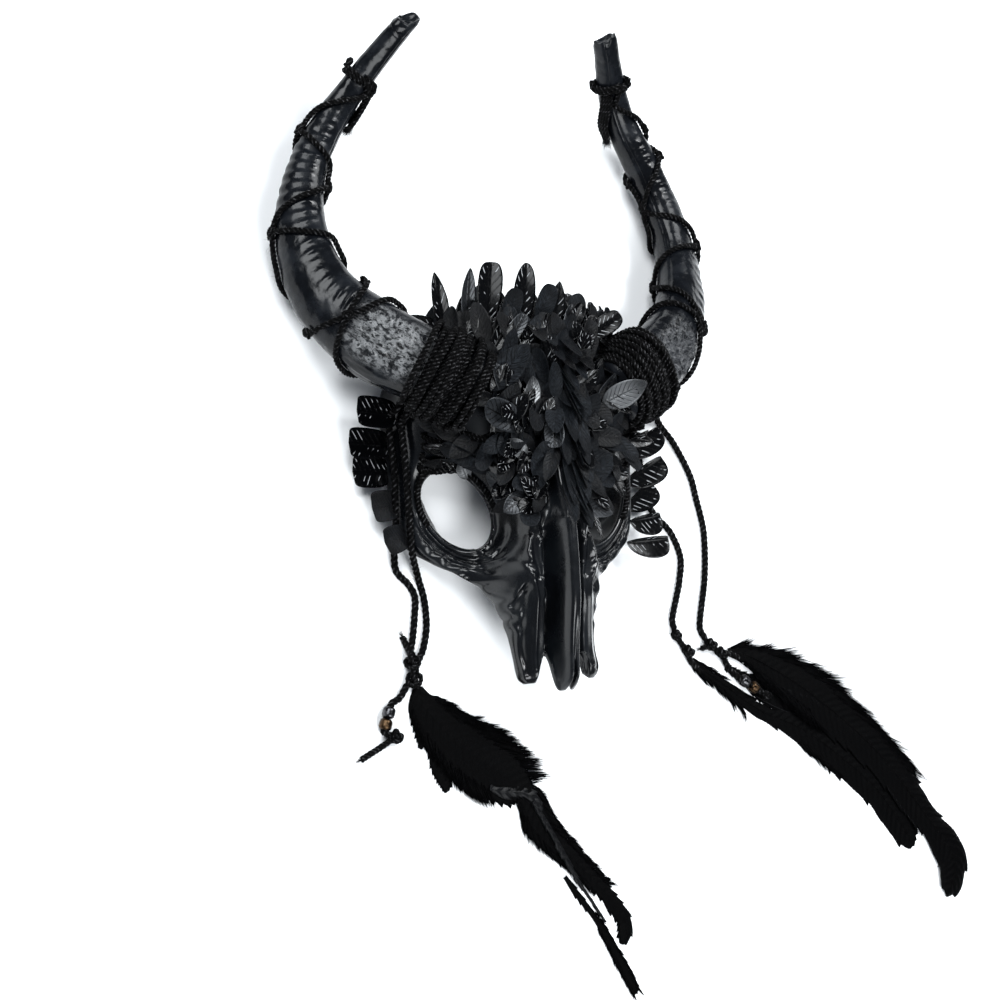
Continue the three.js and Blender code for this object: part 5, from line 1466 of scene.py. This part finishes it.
crownLeaves = [
    ((-56.5, 97, 108, 16, 37, 11, 2), gloss, "pointed"), ((-43.5, 102, 97, 24, 34, 10, 2), satin, "pointed"),
    ((-32.5, 101, 92, 16, 37, 17, 2), gloss, "round"), ((-20, 102, 82, 28, 22, 13, 2), matte, "oval"),
    ((-9.5, 102, 90, 14, 36, 15, 2), gloss, "spear"), ((2, 102, 78, 22, 25, 13, 2), matte, "oval"),
    ((12, 101, 86, 16, 27, 11, 2), gloss, "pointed"), ((23.5, 99, 70, 20, 17, 10, 2), gloss, "oval"),
    ((36, 95, 32, 14, 24, 13, 2), gloss, "oval"),
]
sideLeaves = {
    "left": [
        ((-82, 54, 177, 8, 28, 19, 1.2), gloss, "square"),
        ((-83.5, 38, 178, 3, 27, 19, 1.2), gloss, "square"),
        ((-83.5, 22, 180, 9, 26, 20, 1.2), gloss, "square"),
        ((-81.5, 2, 188, 4, 18, 19, 1.2), dim, "square"),
        ((-78.5, -17, 196, 8, 17, 17, 1.2), dim, "square")],
    "right": [
        ((86, 31, 32, 8, 31, 17, 1.2), gloss, "half"), ((84.5, 13, 30, 12, 30, 18, 1.2), gloss, "half"),
        ((82.5, -3, 38, 7, 25, 17, 1.2), gloss, "half"), ((79.5, -13.5, 8, 12, 21, 17, 1.2), gloss, "half"),
        ((74, -27, 2, 8, 28, 17, 1.2), gloss, "half")],
}
bigLeaves = [
    ((-41, 61, 42, 18, 36, 18, 3.2), matte, "pointed"), ((-21, 39, 160, 16, 31, 18, 3.2), satin, "oval"),
    ((-37, 15, 152, 13, 34, 15, 3.2), matte, "oval"), ((35, 52, 40, 46, 30, 17, 4), silver, "pointed"),
    ((49, 33, -62, 14, 24, 12, 3.2), matte, "oval"),
]
for name, leaves in {"leaf_crown_": crownLeaves, "leaf_side_left_": sideLeaves["left"],
                     "leaf_side_right_": sideLeaves["right"], "leaf_brow_": bigLeaves}.items():
    for count, (leaf, finish, outline) in enumerate(leaves):
        level = leaves is not bigLeaves
        leafPiece(name + "%d_pressed" % (count + 1), [(leaf, level, finish, outline, count * 0.37)],
                  name + str(count + 1))

# Small leaves sewn over each other on each side of the ridge, on a thin backing: rows of y with
# the x of their stalks, then the leaves placed one by one (x, y, heading, length, width, finish)
field = {"rows": [(104, 4, 44), (97, 2, 70), (90, 4, 62), (83, 1, 34), (76, 3, 30), (69, 1, 26),
                  (62, 3, 30), (55, 1, 36), (48, 3, 42), (41, 2, 40), (34, 5, 54), (27, 4, 58),
                  (20, 8, 50), (13, 8, 34), (6, 11, 31), (-1, 10, 30), (-8, 13, 29)],
         "step": 8.0, "shift": 4, "lowest": 5, "heading": 112, "spread": 80, "turnBelow": 60,
         "looks": (0.3, 0.38, 0.68), "rise": 12, "width": 9.5, "lift": 0.4, "placedRise": 20,
         "placedLift": 2.2,
         "left": [(-57, 97, 150, 27, 13, gloss), (-66, 90, 165, 24, 12, dim),
                  (-22, 52, 118, 24, 11, gloss), (-15, 47, 96, 22, 11, silver),
                  (-24, 44, 60, 20, 9, gloss), (-10, 37, 70, 20, 10, gloss),
                  (-20, 20, 140, 17, 10, silver), (-52, 17, 130, 15, 9, gloss),
                  (-45, 13, 110, 14, 9, silver), (-29, 20, 236, 22, 11, dim),
                  (-24, -4, 200, 17, 8, dim), (-20, -9, 168, 17, 7, gloss),
                  (-12, -2, 230, 18, 8, dim), (-38, 66, 96, 24, 13, dim),
                  (-37, 56, 70, 22, 12, gloss), (-34, 46, 60, 22, 12, dim),
                  (-62, 40, 150, 24, 13, dim), (-52, 34, 160, 24, 13, dim)],
         "right": [(44, 93, -100, 24, 12, dim), (30, 44, -120, 18, 9, dim),
                   (47, 28, -118, 24, 12, gloss), (56, 18, -80, 22, 12, gloss),
                   (40, 24, -105, 22, 11, dim), (30, 8, -75, 20, 10, gloss),
                   (22, 0, -60, 20, 10, dim), (18, 12, -70, 22, 10, dim),
                   (36, 82, -60, 24, 14, dim), (38, 72, -70, 24, 14, dim),
                   (36, 62, -50, 24, 13, gloss), (44, 56, -80, 22, 13, dim)]}


def backing(columns, rows, side, lift=0.4, thick=1.1):
    # Cloth that follows the shell between two columns and two rows of its grid.
    ends = sorted(side * np.sign(c) * (abs(c) / 10) ** 1.2 for c in columns)
    u, y0 = np.meshgrid(np.linspace(*ends, 40), np.linspace(*rows, 50))
    weave = 0.15 * np.sin(u * 300) * np.sin(y0 * 3)
    upper = shellPoint(u, y0, lift + thick)
    upper[..., 2] += weave - 0.3
    return skin(upper, shellPoint(u, y0, lift), (u * 9, y0 * 0.1), matte)


def fieldLeaves(side):
    leaves = []
    for i, (y, first, last) in enumerate(field["rows"]):
        for j, x in enumerate(np.arange(first, last, field["step"])):
            n = 20 * i + j + (470 if side > 0 else 0)
            x = x + field["shift"] * (scatter(n + 0.3) - 0.5)
            y1 = y + field["shift"] * (scatter(n + 0.6) - 0.5)
            if shellHeight(side * x, y1) < field["lowest"]:
                continue
            heading = field["heading"] - 6 * j + field["spread"] * (scatter(n) - 0.5)
            if y < field["turnBelow"]:
                heading = heading + 120 * (scatter(n + 0.9) > 0.4)
            length = (17 if y < 22 else 20) + 7 * scatter(n + 0.8)
            look = [gloss, satin, matte, dim][int(np.digitize(scatter(n + 0.7), field["looks"]))]
            rise, width = field["rise"] + 14 * scatter(n + 0.1), field["width"] + 4 * scatter(n + 0.5)
            leaf = (side * x, y1, heading if side < 0 else 180 - heading, rise, length, width,
                    field["lift"])
            leaves.append((leaf, False, look, ["oval", "pointed", "long"][n % 3], float(scatter(n))))
    for i, (x, y, heading, length, width, look) in enumerate(field["left" if side < 0 else "right"]):
        leaf = (x, y, heading, field["placedRise"], length, width, field["placedLift"])
        leaves.append((leaf, False, look, "pointed", i * 0.21))
    return leaves


def eyeBraid(side, start, end):
    # Plaited edging that follows the upper and outer edge of the eye socket.
    edge = eyeEdge(np.linspace(start, end, 160) * degree, eye["braid"])
    x, y = side * edge[:, 0], edge[:, 1]
    path = evenPath(np.stack([x, y, np.maximum(shellHeight(x, y), 6) + 1.6], 1), 0.8)
    return twistedRope(path, 2.1, 7.0, (0, 0, 1), rope, sides=6) + [
        fuzz(path, 2.3, 260, 3.2, 33.0 + side, rope)]


# Loose turns of rope on the brow below the coils: lines of (x, y, lift) on the left side, which
# are mirrored on the right
browShape = {"radius": 1.9, "pitch": 8.0, "widest": 73, "lowest": 4}
browTurns = [
    [(-79, 40, 2.2), (-68, 34, 2.2), (-56, 31, 2.2), (-44, 33, 2.4), (-33, 38, 2.4), (-24, 46, 2.2)],
    [(-79, 34, 2.2), (-69, 29, 2.4), (-58, 26, 2.4), (-45, 28, 2.6), (-33, 32, 2.4), (-22, 38, 2.2)],
    [(-79, 28, 2.2), (-70, 23.5, 2.2), (-60, 21.5, 2.4), (-48, 23.5, 2.4), (-36, 26, 2.4),
     (-24, 30, 2.2)],
    [(-78, 45, 3.4), (-66, 39, 4.0), (-54, 36, 4.2), (-42, 30, 4.2), (-32, 25, 4.0), (-22, 24, 3.2)],
    [(-79, 22, 2.2), (-71, 18.5, 2.4), (-62, 17.5, 2.6), (-50, 19.5, 2.6), (-38, 21, 2.4)],
]


def browRope(side):
    parts = []
    for line in browTurns:
        k = np.linspace(0, 1, 90)[::6]
        x, y, lift = [np.interp(k, np.linspace(0, 1, len(line)), column) for column in zip(*line)]
        x = side * np.minimum(np.abs(x), browShape["widest"])
        points = np.stack([x, y, np.maximum(shellHeight(x, y), browShape["lowest"]) + lift], 1)
        parts += twistedRope(smoothPath(points, 0.8), browShape["radius"], browShape["pitch"],
                             (0, 0, 1), rope, sides=6)
    return parts


for name, side in (("left", -1), ("right", 1)):
    extra = [backing((2, 7), (60, 110), side)] + eyeBraid(side, -85, 118) + browRope(side)
    leafPiece("leaf_field_%s_sewn" % name, fieldLeaves(side), "leaf_field_" + name, extra)

# Long narrow leaves down the ridge: (y, x) of the middle of the strip and its half width
ridge = {"line": [(-16, -1, 4), (15, 5, 6), (42, 8.5, 8), (70, 11, 9), (104, 8, 9)],
         "from": 106, "to": 4, "count": 46, "looks": (0.62, 0.94)}


def ridgeLeaves():
    leaves = []
    for n in range(ridge["count"]):
        y = ridge["from"] + (ridge["to"] - ridge["from"]) * (n / (ridge["count"] - 1))
        middle, half = alongTable(ridge["line"], y)
        x = middle + half * (2 * scatter(n + 0.2) - 1)
        heading = -90 + ((x - middle) / half * 7 - 4) + 9 * (scatter(n + 0.7) - 0.5)
        length = min(28 + 14 * scatter(n + 0.1), y + 26)
        leaf = (float(x), y, heading, 7 + 5 * scatter(n + 0.5), length, 8.5 + 3.5 * scatter(n + 0.4),
                0.6 + 1.6 * scatter(n + 0.9))
        look = [matte, dim, gloss][int(np.digitize(scatter(n + 0.33), ridge["looks"]))]
        leaves.append((leaf, False, look, "long", float(scatter(n))))
    return leaves


leafPiece("leaf_strip_sewn", ridgeLeaves(), "leaf_strip", [backing((-1, 1), (18, 110), 1)])
print("leaves made")

# Floor and soft studio light
studio = {"sky": (0.80, 0.88, 1.0), "skyStrength": 0.22, "floorReach": 6.0,
          "floor": {"colour": (0.93, 0.935, 0.94), "rough": (0.9,), "specular": 0.1},
          "softColour": (0.95, 0.98, 1.0),
          "softs": [((-1.0, 0.9, 1.7), 46.0, 1.1), ((1.1, 0.8, 1.7), 42.0, 1.1),
                    ((0.1, -1.4, 1.6), 40.0, 1.1)],
          "keyPlace": (0.65, 0.45, 1.35), "keyPower": 7.0, "keySize": 0.25}
floorMesh = bpy.data.meshes.new("studioFloor")
reach = studio["floorReach"]
floorMesh.from_pydata([(-reach, -reach, 0), (reach, -reach, 0), (reach, reach, 0), (-reach, reach, 0)],
                      [], [(0, 1, 2, 3)])
floorFinish, tree, shader = newFinish("floorPaper", studio["floor"])
shader.inputs["Base Color"].default_value = (*studio["floor"]["colour"], 1)
floorMesh.materials.append(floorFinish)
studioFloor = bpy.data.objects.new("studioFloor", floorMesh)
scene.collection.objects.link(studioFloor)

world = bpy.data.worlds.new("studioSky")
world.use_nodes = True
sky = world.node_tree.nodes["Background"]
sky.inputs["Color"].default_value = (*studio["sky"], 1)
sky.inputs["Strength"].default_value = studio["skyStrength"]
scene.world = world


def areaLight(name, place, target, size, power, colour=(1, 1, 1)):
    data = bpy.data.lights.new(name, "AREA")
    data.shape = "SQUARE"
    data.size = size
    data.energy = power
    data.color = colour
    light = bpy.data.objects.new(name, data)
    aimed(light, place, [0.0, 1.0, 0.01], unit(np.array(place, float) - target))


for count, (place, power, size) in enumerate(studio["softs"]):
    areaLight("soft%d" % (count + 1), place, (0, 0, 0), size, power, studio["softColour"])
areaLight("keyLight", studio["keyPlace"], (0, 0, 0.03), studio["keySize"], studio["keyPower"])

scene.view_settings.view_transform = "Standard"
scene.view_settings.look = "None"

print("scene done")
